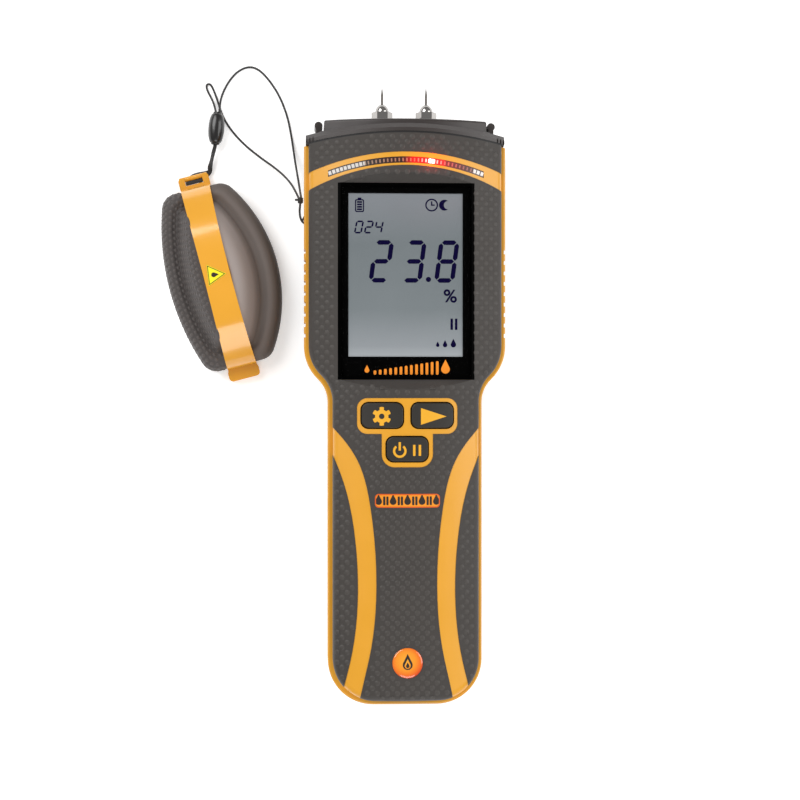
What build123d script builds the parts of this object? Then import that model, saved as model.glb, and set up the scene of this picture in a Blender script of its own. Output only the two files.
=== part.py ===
"""Two-pin moisture meter lying on its back, with its pin cap on a short lanyard.

X runs across the meter, Y runs along it towards the pins, and Z comes out of the display.
The origin is on the flat back, below the middle of the handle's centre line. Millimetres.
"""
from build123d import *
from math import asin, atan2, cos, degrees, pi, radians, sin, sqrt, tan
import os

os.makedirs("parts", exist_ok=True)

# ---------------------------------------------------------------- driving dimensions
HEAD_HALF = 31.8          # half width of the display end at the side band
GRIP_HALF = 24.3          # half width of the handle at the side band
NECK_TOP_Y = 20.6         # where the head starts to narrow
NECK_BOTTOM_Y = 3.1       # where the handle starts
BOTTOM_Y = -92.2
BOTTOM_R = 14.3
NECK_CONVEX_SHARE = 0.59  # share of the neck's curve that bends outwards
TOP_Y = 100.0             # the outline runs on past the end cap and is cut back
REACH = 130.0             # longer than half the case, for cuts along it

THICKNESS = 34.0
FRONT_R = 65.0            # radius of the domed front, seen end on
BACK_FLAT_HALF = 15.0
BACK_R = 40.0
BAND_LOW, SPLIT_Z, BAND_HIGH = 13.0, 18.0, 23.0   # the coloured band round the sides

BAND_STEP = 1.5           # the soft skins sit this far inside the side band
TOE = 1.0                 # and the front skin a little more at the bottom end
SKIN = 1.6                # thickness of the soft skins
WALL = 1.8                # thickness of the hard walls
EDGE_R = 2.4              # rounding of the skins' outer edges

SEAM_MID_Y, SEAM_SIDE_Y = 86.4, 83.3              # arched joint between case and end cap
SEAL_GAP = 0.6
END_CAP_Y, LIP, LIP_SLOPE = 91.3, 3.2, 1.5
BOSS_HALF = 25.5
CATCH_X, CATCH_Y, CATCH_R = 27.2, 89.9, 1.25

WIN_LEFT, WIN_RIGHT, WIN_LOW, WIN_HIGH = -21.3, 21.3, 10.0, 71.2
WIN_Z, WIN_THICK, MASK_THICK = 30.7, 1.5, 0.2
WINDOW_LEDGE_Z = WIN_Z - WIN_THICK - MASK_THICK
LINING_Z, LINING = WIN_Z - 0.35, 2.4              # soft lining round the window
FRAME_Z, FRAME = 26.8, 2.9                        # and the hard frame below it
LCD_LEFT, LCD_RIGHT, LCD_LOW, LCD_HIGH = -18.0, 17.7, 17.2, 68.1

ARC_OUT_R, ARC_IN_R = 81.8, 67.4                  # coloured band above the display
ARC_OUT_TOP, ARC_IN_TOP, ARC_HALF = 80.5, 76.35, 30.6
SLOT_R, SLOT_TOP, SLOT_WIDTH, SLOT_HALF = 76.9, 79.0, 1.95, 24.3
CHIP_COUNT = 41

KEY_Z, KEY_FLANGE = 27.6, 1.1
KEY_PROUD, KEY_TRAVEL = 0.45, 0.7
KEYS = {
    "key_settings": (-14.0, -1.2, -4.95, 2.8),
    "key_reference": (1.4, 14.4, -4.95, 2.8),
    "key_power": (-6.3, 6.5, -15.3, -7.7),
}
KEY_GAP = 0.35

BOARD_Z, BOARD_THICK = 19.6, 1.6
MAT_Z, DOME_TOP_Z = 25.6, 21.9
PIN_X, PIN_Z = 7.0, 17.5
SOCKET_R, STUD_R, STUD_Y = 3.0, 1.6, 93.3
NEEDLE_R, NEEDLE_FOOT_Y, NEEDLE_TIP_Y = 0.42, 84.2, 103.0
NUT_Y, NUT_TOP_Y, NUT_HALF_FLATS, NUT_HEX, NUT_DOME_R = 91.5, 97.5, 2.9, 3.5, 2.15
PROBE_X, PROBE_Z, PROBE_R, PROBE_WALL = 17.5, 17.5, 1.8, 1.4
CELL_R, CELL_LENGTH, CELL_NUB = 7.1, 48.6, 1.6
CELL_X, CELL_Z = 7.5, 9.9
BAY_HALF, BAY_LOW, BAY_HIGH = 16.0, -82.0, -24.5
COVER_CLEARANCE, COVER_TOP, COVER_CORNER, CELL_BAY = 0.25, 2.3, 3.0, 15.0

LUG_X, LUG_Y, LUG_BAR_R = -30.5, 61.2, 0.8
LUG_LOW, LUG_TOP = 13.7, 22.3
SEAL_HALF, SEAL_INSET, SEAL_WIDTH = 0.5, 3.5, 0.7
BOSS_R, SCREW_R, SCREW_HEAD_R = 2.9, 1.05, 2.2
SCREW_SEAT_Z, SCREW_TIP_Z = 4.4, 25.0
SCREWS = [(24.3, 79.0), (-24.3, 79.0), (16.9, -20.6), (-16.9, -20.6), (9.5, -85.4), (-9.5, -85.4)]

CAP_X, CAP_Y = -59.3, 43.5
CAP_TILT = -75.4          # direction of the strap, from +X
CAP_END = 29.3
CAP_FRONT_R, CAP_FRONT_BULGE = 48.5, 19.5         # the smooth side, shaped like the domed front
CAP_BACK_R, CAP_BACK_BULGE = 80.0, 16.2           # the textured side, shaped like the flat back
CAP_SKIRT_Z, CAP_CROWN_Z, CAP_CROWN_INSET, CAP_CROWN_SLOPE, CAP_CROWN_SHIFT = 9.5, 18.6, 4.6, 5.2, -0.8
CAP_SKIN, CAP_WALL = 1.6, 1.5
STRAP_MID_HALF, STRAP_END_HALF, TAB_HALF, TAB_CORNER, TAB_END = 4.2, 4.8, 5.1, 1.3, 33.9
STRAP_RISE = [(-29.8, 5.5), (-28.6, 8.8), (-26.5, 11.2), (-24.0, 13.2), (-21.5, 14.9), (-19.0, 16.4),
              (-16.5, 17.5), (-13.0, 18.4), (-7.0, 19.1), (0.0, 19.3)]
EYE_U, EYE_R, EYE_Z = -33.5, 0.8, 2.0             # the bar at the strap's eye
LABEL_U, LABEL_V, LABEL_R, LABEL_TURN = 0.1, -0.9, 3.9, 82.0

CORD_D = 0.7
CORD_Z = 0.36             # centre of the cord where it lies on the surface
KNOT = (-32.9, 66.9, 18.0)
BEAD_X, BEAD_Y, BEAD_Z, BEAD_R, BEAD_HALF, BEAD_TURN = -60.2, 91.9, 2.6, 2.6, 5.3, -4.3


def save(piece, name):
    """Name a finished piece and write it."""
    piece.part.label = name
    export_step(piece.part, f"parts/{name}.step")


# ---------------------------------------------------------------- outlines shared by the case parts
def plan_outline(inset=0.0, plane=Plane.XY, toe=0.0):
    """The case seen from the front, moved inwards by inset, and by toe more at the bottom end."""
    bottom = BOTTOM_Y + toe
    step = HEAD_HALF - GRIP_HALF
    drop = NECK_TOP_Y - NECK_BOTTOM_Y
    turn = 2 * atan2(step, drop)
    radii = drop / sin(turn)
    convex = radii * NECK_CONVEX_SHARE
    join = (HEAD_HALF - convex * (1 - cos(turn)), NECK_TOP_Y - convex * sin(turn))
    with BuildSketch(plane) as sketch:
        with BuildLine():
            edge = Polyline((0, TOP_Y + inset), (HEAD_HALF, TOP_Y + inset), (HEAD_HALF, NECK_TOP_Y))
            upper = TangentArc(edge @ 1, join, tangent=(0, -1))
            lower = TangentArc(upper @ 1, (GRIP_HALF, NECK_BOTTOM_Y), tangent=upper % 1)
            side = Line(lower @ 1, (GRIP_HALF, bottom + BOTTOM_R))
            corner = TangentArc(side @ 1, (GRIP_HALF - BOTTOM_R, bottom), tangent=(0, -1))
            Line(corner @ 1, (0, bottom))
            mirror(about=Plane.YZ)
        make_face()
        if inset:
            offset(amount=-inset, kind=Kind.INTERSECTION)
    return sketch.sketch


def end_outline(inset=0.0, half=34.0):
    """The case seen end on, moved inwards by inset: domed front, flat back with curved sides."""
    front, back = FRONT_R - inset, BACK_R - inset
    middle = THICKNESS - FRONT_R
    side_z = middle + sqrt(front ** 2 - half ** 2)
    hip_z = BACK_R - sqrt(back ** 2 - (half - BACK_FLAT_HALF) ** 2)
    bend = asin((half - BACK_FLAT_HALF) / back) / 2
    hip = (BACK_FLAT_HALF + back * sin(bend), BACK_R - back * cos(bend))
    with BuildSketch(Plane.XZ.offset(-REACH)) as sketch:
        with BuildLine():
            ThreePointArc((-half, side_z), (0, middle + front), (half, side_z))
            Line((half, side_z), (half, hip_z))
            ThreePointArc((half, hip_z), hip, (BACK_FLAT_HALF, inset))
            Line((BACK_FLAT_HALF, inset), (-BACK_FLAT_HALF, inset))
            ThreePointArc((-BACK_FLAT_HALF, inset), (-hip[0], hip[1]), (-half, hip_z))
            Line((-half, hip_z), (-half, side_z))
        make_face()
    return sketch.sketch


def envelope(side_inset, face_inset, low, high, rounding=0.0, toe=0.0):
    """A slice of the case's rounded block between two heights."""
    with BuildPart() as block:
        extrude(plan_outline(side_inset, Plane.XY.offset(low), toe), amount=high - low)
        extrude(end_outline(face_inset), amount=2 * REACH, mode=Mode.INTERSECT)
        if rounding:
            if high > BAND_HIGH:
                rim = block.edges().filter_by_position(Axis.Z, BAND_HIGH + 1, THICKNESS + 1)
            else:
                rim = block.edges().filter_by_position(Axis.Z, -1, BAND_LOW - 1)
            fillet(rim, rounding)
    return block.part


def seam_cut(shift, low=-1, high=40):
    """Everything beyond the arched line where the case meets the end cap."""
    far_x = HEAD_HALF + 3
    side_y = SEAM_SIDE_Y + shift - (SEAM_MID_Y - SEAM_SIDE_Y) * 0.2
    with BuildPart() as beyond:
        with BuildSketch(Plane.XY.offset(low)):
            with BuildLine():
                ThreePointArc((-far_x, side_y), (0, SEAM_MID_Y + shift), (far_x, side_y))
                Polyline((far_x, side_y), (far_x, 120), (-far_x, 120), (-far_x, side_y))
            make_face()
        extrude(amount=high - low)
    return beyond.part


def box_between(x, y, z, corner=0.0):
    """A block from its limits on each axis, with optional rounded upright corners."""
    with BuildPart() as block:
        with BuildSketch(Plane.XY.offset(z[0])):
            with Locations(((x[0] + x[1]) / 2, (y[0] + y[1]) / 2)):
                if corner:
                    RectangleRounded(x[1] - x[0], y[1] - y[0], corner)
                else:
                    Rectangle(x[1] - x[0], y[1] - y[0])
        extrude(amount=z[1] - z[0])
    return block.part


def posts(places, radius, low, high):
    """Upright round posts, one at each place."""
    with BuildPart() as group:
        with BuildSketch(Plane.XY.offset(low)):
            with Locations(*places):
                Circle(radius)
        extrude(amount=high - low)
    return group.part


def arc_band(outer_r, inner_r, outer_top, inner_top, half, low, high):
    """An arched strip above the display, as an upright prism."""
    with BuildPart() as strip:
        with BuildSketch(Plane.XY.offset(low)):
            with Locations((0, outer_top - outer_r)):
                Circle(outer_r)
            with Locations((0, inner_top - inner_r)):
                Circle(inner_r, mode=Mode.SUBTRACT)
            with Locations((0, outer_top)):
                Rectangle(2 * half, 30, mode=Mode.INTERSECT)
        extrude(amount=high - low)
    return strip.part


# ---------------------------------------------------------------- decoration areas on the front
def stripe_prism(sign):
    """One curved stripe down the handle, as an upright prism."""
    inner = [(22.3, -5.4), (15.3, -14.9), (11.2, -29.8), (9.4, -53.5), (11.2, -74.2), (14.4, -88.7)]
    outer = [(19.6, -86.0), (17.0, -75.3), (15.1, -53.0), (16.0, -39.0), (18.5, -25.3), (22.3, -14.7)]
    past = [(15.4, -95.0), (22.0, -95.0)]
    start = [(27.0, -6.5), (27.0, -0.8)]
    with BuildPart() as stripe:
        with BuildSketch(Plane.XY.offset(BAND_HIGH - 2)):
            with BuildLine():
                near = Spline([(sign * x, y) for x, y in [start[1]] + inner + [past[0]]])
                far = Spline([(sign * x, y) for x, y in [past[1]] + outer + [start[0]]])
                Line(near @ 1, far @ 0)
                Line(far @ 1, near @ 0)
            make_face()
        extrude(amount=THICKNESS)
    return stripe.part


def surround_prism(low):
    """The coloured panel that carries the three keys."""
    with BuildPart() as panel:
        with BuildSketch(Plane.XY.offset(low)) as face:
            with Locations((0.2, -1.25)):
                Rectangle(31.2, 11.1)
            with Locations((0.15, -11.95)):
                Rectangle(15.9, 10.3)
            fillet(face.vertices().group_by(Axis.Y)[-1], 3.2)
            fillet(face.vertices().group_by(Axis.Y)[0], 4.0)
            fillet([v for v in face.vertices() if abs(v.X) > 14 and v.Y < -5], 3.2)
        extrude(amount=40 - low)
    return panel.part


def key_block(limits, z, grow=0.0, corner=2.2):
    """A rounded block over one key's outline."""
    left, right, low, high = limits
    return box_between((left - grow, right + grow), (low - grow, high + grow), z, corner + grow)


PRISM_LOW = BAND_HIGH - 1
arc_prism = arc_band(ARC_OUT_R, ARC_IN_R, ARC_OUT_TOP, ARC_IN_TOP, ARC_HALF, PRISM_LOW, 40)
window_pocket = ((WIN_LEFT, WIN_RIGHT), (WIN_LOW, WIN_HIGH))
window_frame = ((WIN_LEFT - FRAME, WIN_RIGHT + FRAME), (WIN_LOW - FRAME, WIN_HIGH + FRAME))
lcd_opening = ((-20.0, 19.8), (13.0, 70.0))
slot_prism = arc_band(SLOT_R, SLOT_R - SLOT_WIDTH, SLOT_TOP, SLOT_TOP - SLOT_WIDTH, SLOT_HALF, 24, 40)
plate_limits = ((-9.9, 10.3), (-29.6, -25.3))
badge_at, badge_r = (0.2, -77.6), 4.75

with BuildPart() as window_recess:
    with BuildSketch(Plane.XY.offset(WIN_Z)):
        with Locations(((WIN_LEFT + WIN_RIGHT) / 2, (WIN_LOW + WIN_HIGH) / 2)):
            Rectangle(WIN_RIGHT - WIN_LEFT, WIN_HIGH - WIN_LOW)
    extrude(amount=6, taper=-42)

lining_block = box_between((WIN_LEFT - LINING, WIN_RIGHT + LINING), (WIN_LOW - LINING, WIN_HIGH + LINING),
                           (LINING_Z, 40)) - arc_prism

# ---------------------------------------------------------------- solid layers of the case
front_outer = envelope(BAND_STEP, 0, BAND_HIGH, 40, EDGE_R, TOE)
front_panel = envelope(BAND_STEP + 0.12, 0.15, BAND_HIGH, 40, EDGE_R, TOE)
front_inner = envelope(BAND_STEP + SKIN, SKIN, BAND_HIGH, 40, toe=TOE)
back_outer = envelope(BAND_STEP, 0, -1, BAND_LOW, EDGE_R)
back_inner = envelope(BAND_STEP + SKIN, SKIN, -1, BAND_LOW)
cavity = envelope(BAND_STEP + SKIN + WALL, SKIN + WALL, -1, 40)
beyond_case = seam_cut(0)


def seal_ring(grow):
    """The cord seal between the shells, or its groove when grown."""
    with BuildPart() as ring:
        low = Plane.XY.offset(SPLIT_Z - SEAL_HALF - grow)
        depth = 2 * (SEAL_HALF + grow)
        extrude(plan_outline(SEAL_INSET - grow, low), amount=depth)
        extrude(plan_outline(SEAL_INSET + SEAL_WIDTH + grow, low), amount=depth, mode=Mode.SUBTRACT)
        add(beyond_case, mode=Mode.SUBTRACT)
    return ring.part


seal_groove = seal_ring(0.1)
lug_recess = box_between((-HEAD_HALF - 1.5, -28.6), (58.6, 64.8), (14.4, 21.6))
with BuildPart() as side_grooves:
    for x in (-HEAD_HALF, HEAD_HALF):
        for i in range(9):
            with Locations((x, 24.0 + 3.3 * i, SPLIT_Z)):
                Box(1.0, 1.3, 20)
with BuildPart() as tab_slots:
    for x in (-3.5, 3.5):
        add(box_between((x - 1.9, x + 1.9), (BAY_LOW - 1.6, BAY_LOW + 0.5), (0.9, 3.2)))

# ---------------------------------------------------------------- front shell: band, wall and coloured panels
with BuildPart() as front_block:
    extrude(plan_outline(0, Plane.XY.offset(SPLIT_Z)), amount=BAND_HIGH - SPLIT_Z)
    fillet(front_block.edges().filter_by_position(Axis.Z, BAND_HIGH - 0.01, BAND_HIGH + 0.01), 0.7)
    add(front_inner)

with BuildPart() as front_shell:
    add(front_block.part)
    for prism in (stripe_prism(1), stripe_prism(-1), arc_prism, surround_prism(PRISM_LOW)):
        add(front_panel & prism)
    add(cavity, mode=Mode.SUBTRACT)
    add(posts(SCREWS, BOSS_R, SPLIT_Z, 40) & front_block.part)
    add(posts(SCREWS, SCREW_R, SPLIT_Z - 1, SCREW_TIP_Z), mode=Mode.SUBTRACT)
    add(box_between(*window_frame, (FRAME_Z, 40)) & front_block.part)
    add(lining_block, mode=Mode.SUBTRACT)
    add(window_recess.part, mode=Mode.SUBTRACT)
    add(box_between(*window_pocket, (WINDOW_LEDGE_Z, 40)), mode=Mode.SUBTRACT)
    add(box_between(*lcd_opening, (24, 40)), mode=Mode.SUBTRACT)
    add(slot_prism, mode=Mode.SUBTRACT)
    for limits in KEYS.values():
        add(key_block(limits, (KEY_Z - 1, 40), KEY_GAP), mode=Mode.SUBTRACT)
    add(seal_groove, mode=Mode.SUBTRACT)
    add(lug_recess, mode=Mode.SUBTRACT)
    add(posts([(LUG_X, LUG_Y)], LUG_BAR_R, 10, LUG_TOP), mode=Mode.SUBTRACT)
    add(side_grooves.part, mode=Mode.SUBTRACT)
    add(beyond_case, mode=Mode.SUBTRACT)
save(front_shell, "front_shell")

# ---------------------------------------------------------------- front grip: the soft textured skin
with BuildPart() as front_grip:
    add(front_outer)
    add(front_inner, mode=Mode.SUBTRACT)
    add(front_outer & lining_block)
    for prism in (stripe_prism(1), stripe_prism(-1), arc_prism, surround_prism(PRISM_LOW)):
        add(prism, mode=Mode.SUBTRACT)
    add(window_recess.part, mode=Mode.SUBTRACT)
    add(box_between(*window_pocket, (WINDOW_LEDGE_Z, 40)), mode=Mode.SUBTRACT)
    add(box_between(*plate_limits, (31, 40), 1.2), mode=Mode.SUBTRACT)
    add(posts([badge_at], badge_r, 31, 40), mode=Mode.SUBTRACT)
    add(beyond_case, mode=Mode.SUBTRACT)
save(front_grip, "front_grip")

# ---------------------------------------------------------------- rear shell and its skin
with BuildPart() as rear_block:
    extrude(plan_outline(0, Plane.XY.offset(BAND_LOW)), amount=SPLIT_Z - BAND_LOW)
    fillet(rear_block.edges().filter_by_position(Axis.Z, BAND_LOW - 0.01, BAND_LOW + 0.01), 0.7)
    add(back_inner)

bay_walls = box_between((-BAY_HALF - 0.2, BAY_HALF + 0.2), (BAY_LOW - 1.2, BAY_HIGH + 1.2),
                        (0, SPLIT_Z - 0.4))
cell_bay = box_between((-CELL_BAY, CELL_BAY), (BAY_LOW + 0.2, BAY_HIGH - 0.2), (COVER_TOP, 40))
cover_seat = box_between((-BAY_HALF, BAY_HALF), (BAY_LOW, BAY_HIGH), (-1, COVER_TOP), COVER_CORNER)
with BuildPart() as rear_shell:
    add(rear_block.part)
    add(cavity, mode=Mode.SUBTRACT)
    add(bay_walls & rear_block.part)
    add(cell_bay, mode=Mode.SUBTRACT)
    add(cover_seat, mode=Mode.SUBTRACT)
    add(posts(SCREWS, BOSS_R, 0, SPLIT_Z) & rear_block.part)
    add(posts(SCREWS, SCREW_R + 0.25, -1, 40), mode=Mode.SUBTRACT)
    add(posts(SCREWS, SCREW_HEAD_R + 0.2, -1, SCREW_SEAT_Z), mode=Mode.SUBTRACT)
    add(seal_groove, mode=Mode.SUBTRACT)
    add(lug_recess, mode=Mode.SUBTRACT)
    add(posts([(LUG_X, LUG_Y)], LUG_BAR_R, LUG_LOW, 40), mode=Mode.SUBTRACT)
    add(side_grooves.part, mode=Mode.SUBTRACT)
    add(tab_slots.part, mode=Mode.SUBTRACT)
    add(beyond_case, mode=Mode.SUBTRACT)
save(rear_shell, "rear_shell")

with BuildPart() as rear_grip:
    add(back_outer)
    add(back_inner, mode=Mode.SUBTRACT)
    add(box_between((-BAY_HALF, BAY_HALF), (BAY_LOW, BAY_HIGH), (-1, 6), COVER_CORNER), mode=Mode.SUBTRACT)
    add(posts(SCREWS, SCREW_HEAD_R + 0.2, -1, 6), mode=Mode.SUBTRACT)
    add(tab_slots.part, mode=Mode.SUBTRACT)
    add(beyond_case, mode=Mode.SUBTRACT)
save(rear_grip, "rear_grip")

# ---------------------------------------------------------------- seal, screws, lug bar
with BuildPart() as case_seal:
    add(seal_ring(0))
save(case_seal, "case_seal")

with BuildPart() as case_screws:
    add(posts(SCREWS, SCREW_R, SCREW_SEAT_Z, SCREW_TIP_Z - 0.3))
    add(posts(SCREWS, SCREW_HEAD_R, SCREW_SEAT_Z - 1.9, SCREW_SEAT_Z))
    for x, y in SCREWS:
        with Locations((x, y, SCREW_SEAT_Z - 1.9)):
            Box(2.6, 0.6, 1.6, mode=Mode.SUBTRACT)
            Box(0.6, 2.6, 1.6, mode=Mode.SUBTRACT)
save(case_screws, "case_screws")

with BuildPart() as lanyard_bar:
    add(posts([(LUG_X, LUG_Y)], LUG_BAR_R, LUG_LOW, LUG_TOP))
save(lanyard_bar, "lanyard_bar")


def round_bar(x, z, radius, near, far):
    """A round bar along Y."""
    with BuildPart() as bar:
        with BuildSketch(Plane.XZ.offset(-near)):
            with Locations((x, z)):
                Circle(radius)
        extrude(amount=-(far - near))
    return bar.part


def grow(limits, by):
    """The same X and Y limits, moved out by a margin."""
    return tuple((low - by, high + by) for low, high in limits)


def shrink(limits, by):
    """The same X and Y limits, moved in by a margin."""
    return grow(limits, -by)


# ---------------------------------------------------------------- end cap and its gasket
def end_slice(side_inset, face_inset, near, far):
    """A slice of the case's rounded block between two arched lines across its end."""
    return (envelope(side_inset, face_inset, -1, 40) & seam_cut(near)) - seam_cut(far)


CLEAR_OF_WALL = BAND_STEP + SKIN + WALL + 0.1
CLEAR_OF_FACE = SKIN + WALL + 0.1
spigot = envelope(CLEAR_OF_WALL, CLEAR_OF_FACE, -1, 40) & box_between((-40, 40), (82.4, 88), (-1, 40))
spigot_hollow = (envelope(CLEAR_OF_WALL + 1.6, CLEAR_OF_FACE + 1.6, -1, 40)
                 & box_between((-40, 40), (80, 86), (-1, 40)))
lip_grooves = Part()
for x in (-30.9, -29.9, -28.9, 28.9, 29.9, 30.9):
    lip_grooves += box_between((x - 0.2, x + 0.2), (80, 100), (18, 40))
lip_grooves -= envelope(0.6, 0.8, -1, 40)

with BuildPart() as end_cap_gasket:
    add(end_slice(0.8, 0.5, 0, SEAL_GAP))
    add(spigot, mode=Mode.SUBTRACT)
save(end_cap_gasket, "end_cap_gasket")

with BuildPart() as end_cap:
    add(end_slice(0.6, 0.35, SEAL_GAP, LIP))
    chamfer(end_cap.edges().filter_by_position(Axis.Z, 30, 40).sort_by(Axis.Y)[-1], LIP_SLOPE)
    add(lip_grooves, mode=Mode.SUBTRACT)
    boss_face = end_outline(3.0, BOSS_HALF).moved(Location((0, END_CAP_Y - REACH, 0)))
    extrude(boss_face, amount=END_CAP_Y - 86.0)
    fillet(end_cap.edges().filter_by_position(Axis.Y, END_CAP_Y - 0.01, END_CAP_Y + 0.01), 0.8)
    for sign in (-1, 1):
        with BuildSketch(Plane.XY.offset(SPLIT_Z - 5)):
            with Locations((sign * CATCH_X, CATCH_Y)):
                Circle(CATCH_R)
            with Locations((sign * CATCH_X, CATCH_Y - 2)):
                Rectangle(1.6, 4)
        extrude(amount=10)
    add(seam_cut(SEAL_GAP), mode=Mode.INTERSECT)
    add(spigot)
    add(spigot_hollow, mode=Mode.SUBTRACT)
    for x in (-PIN_X, PIN_X):
        add(round_bar(x, PIN_Z, SOCKET_R, 80, 100), mode=Mode.SUBTRACT)
    add(round_bar(PROBE_X, PROBE_Z, PROBE_R + PROBE_WALL, 80, 100), mode=Mode.SUBTRACT)
save(end_cap, "end_cap")

# ---------------------------------------------------------------- electrodes and probe socket
with BuildPart() as electrode_sockets:
    for x in (-PIN_X, PIN_X):
        add(round_bar(x, PIN_Z, SOCKET_R, 80.5, END_CAP_Y - 0.2))
        add(round_bar(x, PIN_Z, STUD_R, END_CAP_Y - 0.2, STUD_Y))
        add(round_bar(x, PIN_Z, NEEDLE_R, NEEDLE_FOOT_Y, STUD_Y), mode=Mode.SUBTRACT)
save(electrode_sockets, "electrode_sockets")

with BuildPart() as probe_socket:
    add(round_bar(PROBE_X, PROBE_Z, PROBE_R + PROBE_WALL, 80.5, END_CAP_Y))
    add(round_bar(PROBE_X, PROBE_Z, PROBE_R, 82.5, END_CAP_Y), mode=Mode.SUBTRACT)
save(probe_socket, "probe_socket")

for side, x in (("left", -PIN_X), ("right", PIN_X)):
    with BuildPart() as needle:
        with BuildSketch(Plane.XY.offset(PIN_Z)):
            with BuildLine():
                shank, collar, collar_y = x + NEEDLE_R - 0.03, x + 1.2, STUD_Y + 0.05
                Polyline((x, NEEDLE_FOOT_Y + 0.1), (shank, NEEDLE_FOOT_Y + 0.1), (shank, collar_y),
                         (collar, collar_y), (collar, collar_y + 0.7), (shank, collar_y + 0.7),
                         (shank, NEEDLE_TIP_Y - 2.4), (x + 0.06, NEEDLE_TIP_Y), (x, NEEDLE_TIP_Y), close=True)
            make_face()
        revolve(axis=Axis((x, 0, PIN_Z), (0, 1, 0)))
    save(needle, f"needle_{side}")

    with BuildPart() as pin_nut:
        with BuildSketch(Plane.XZ.offset(-NUT_Y)):
            with Locations((x, PIN_Z)):
                RegularPolygon(NUT_HALF_FLATS, 6, major_radius=False)
        extrude(amount=-NUT_HEX)
        with BuildSketch(Plane.XY.offset(PIN_Z)):
            with BuildLine():
                base_y, rim_x = NUT_Y + NUT_HEX, x + NUT_DOME_R
                ThreePointArc((rim_x, base_y), (x + 1.8, base_y + 1.45), (x + 0.7, NUT_TOP_Y))
                Polyline((x + 0.7, NUT_TOP_Y), (x, NUT_TOP_Y), (x, NUT_Y + 0.5), (rim_x, NUT_Y + 0.5),
                         (rim_x, base_y))
            make_face()
        revolve(axis=Axis((x, 0, PIN_Z), (0, 1, 0)))
        add(round_bar(x, PIN_Z, STUD_R + 0.05, NUT_Y - 1, STUD_Y + 0.85), mode=Mode.SUBTRACT)
        add(round_bar(x, PIN_Z, NEEDLE_R + 0.03, NUT_Y, 110), mode=Mode.SUBTRACT)
    save(pin_nut, f"pin_nut_{side}")

# ---------------------------------------------------------------- display stack
with BuildPart() as display_window:
    add(box_between(*shrink(window_pocket, 0.05), (WIN_Z - WIN_THICK, WIN_Z)))
    add(front_outer, mode=Mode.INTERSECT)
save(display_window, "display_window")

with BuildPart() as window_mask:
    add(box_between(*shrink(window_pocket, 0.05), (WINDOW_LEDGE_Z, WIN_Z - WIN_THICK - 0.02)))
    add(box_between((LCD_LEFT, LCD_RIGHT), (LCD_LOW, LCD_HIGH), (20, 40)), mode=Mode.SUBTRACT)
    add(front_block.part, mode=Mode.INTERSECT)
save(window_mask, "window_mask")

LCD_BASE_Z = 26.8
with BuildPart() as lcd_panel:
    add(box_between(*shrink(lcd_opening, 0.2), (LCD_BASE_Z, WINDOW_LEDGE_Z - 0.1)))
save(lcd_panel, "lcd_panel")

backlight_limits = ((-19.6, 19.4), (16.2, 69.6))
with BuildPart() as lcd_backlight:
    add(box_between(*backlight_limits, (24.4, LCD_BASE_Z - 0.05)))
save(lcd_backlight, "lcd_backlight")

zebra_limits = ((-16.5, 16.5), (13.7, 15.3))
with BuildPart() as zebra_strip:
    add(box_between(*zebra_limits, (BOARD_Z + BOARD_THICK, LCD_BASE_Z)))
save(zebra_strip, "zebra_strip")

with BuildPart() as lcd_holder:
    add(box_between((-20.6, 20.4), (12.2, 70.8), (BOARD_Z + BOARD_THICK, LCD_BASE_Z - 0.1)))
    add(box_between(*grow(backlight_limits, 0.1), (24.3, 40)), mode=Mode.SUBTRACT)
    add(box_between(*shrink(backlight_limits, 1.2), (BOARD_Z, 23.4)), mode=Mode.SUBTRACT)
    add(box_between(*grow(zebra_limits, 0.1), (BOARD_Z, 40)), mode=Mode.SUBTRACT)
save(lcd_holder, "lcd_holder")

# ---------------------------------------------------------------- light bar
bar_layer = envelope(BAND_STEP, 0.35, BAND_HIGH, 40) - envelope(BAND_STEP, 2.4, BAND_HIGH - 1, 40)
with BuildPart() as light_bar_lens:
    add(bar_layer & slot_prism)
save(light_bar_lens, "light_bar_lens")

strip_layer = (envelope(BAND_STEP, SKIN + WALL + 0.05, BAND_HIGH, 40)
               - envelope(BAND_STEP, SKIN + WALL + 0.75, BAND_HIGH - 1, 40))
strip_prism = arc_band(SLOT_R + 0.9, SLOT_R - 2.1, SLOT_TOP + 0.9, SLOT_TOP - 2.1, SLOT_HALF, 24, 40)
with BuildPart() as light_bar_board:
    add(strip_layer & strip_prism)
save(light_bar_board, "light_bar_board")

with BuildPart() as light_bar_leds:
    middle_r = SLOT_R - SLOT_WIDTH / 2
    for i in range(CHIP_COUNT):
        x = SLOT_HALF * 0.975 * (2 * i / (CHIP_COUNT - 1) - 1)
        y = SLOT_TOP - SLOT_R + sqrt(middle_r ** 2 - x ** 2)
        z = THICKNESS - FRONT_R + sqrt((FRONT_R - SKIN - WALL) ** 2 - x ** 2)
        with Locations(Location((x, y, z), (0, degrees(asin(x / FRONT_R)), -degrees(asin(x / middle_r))))):
            Box(0.5, 1.0, 0.7, align=(Align.CENTER, Align.CENTER, Align.MIN))
save(light_bar_leds, "light_bar_leds")

# ---------------------------------------------------------------- main board and what is on it
with BuildPart() as main_board:
    add(box_between((-20.6, 20.6), (16.0, 80.5), (BOARD_Z, BOARD_Z + BOARD_THICK), 1.5))
    add(box_between((-15.2, 15.2), (-16.8, 18.0), (BOARD_Z, BOARD_Z + BOARD_THICK)))
save(main_board, "main_board")

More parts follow.
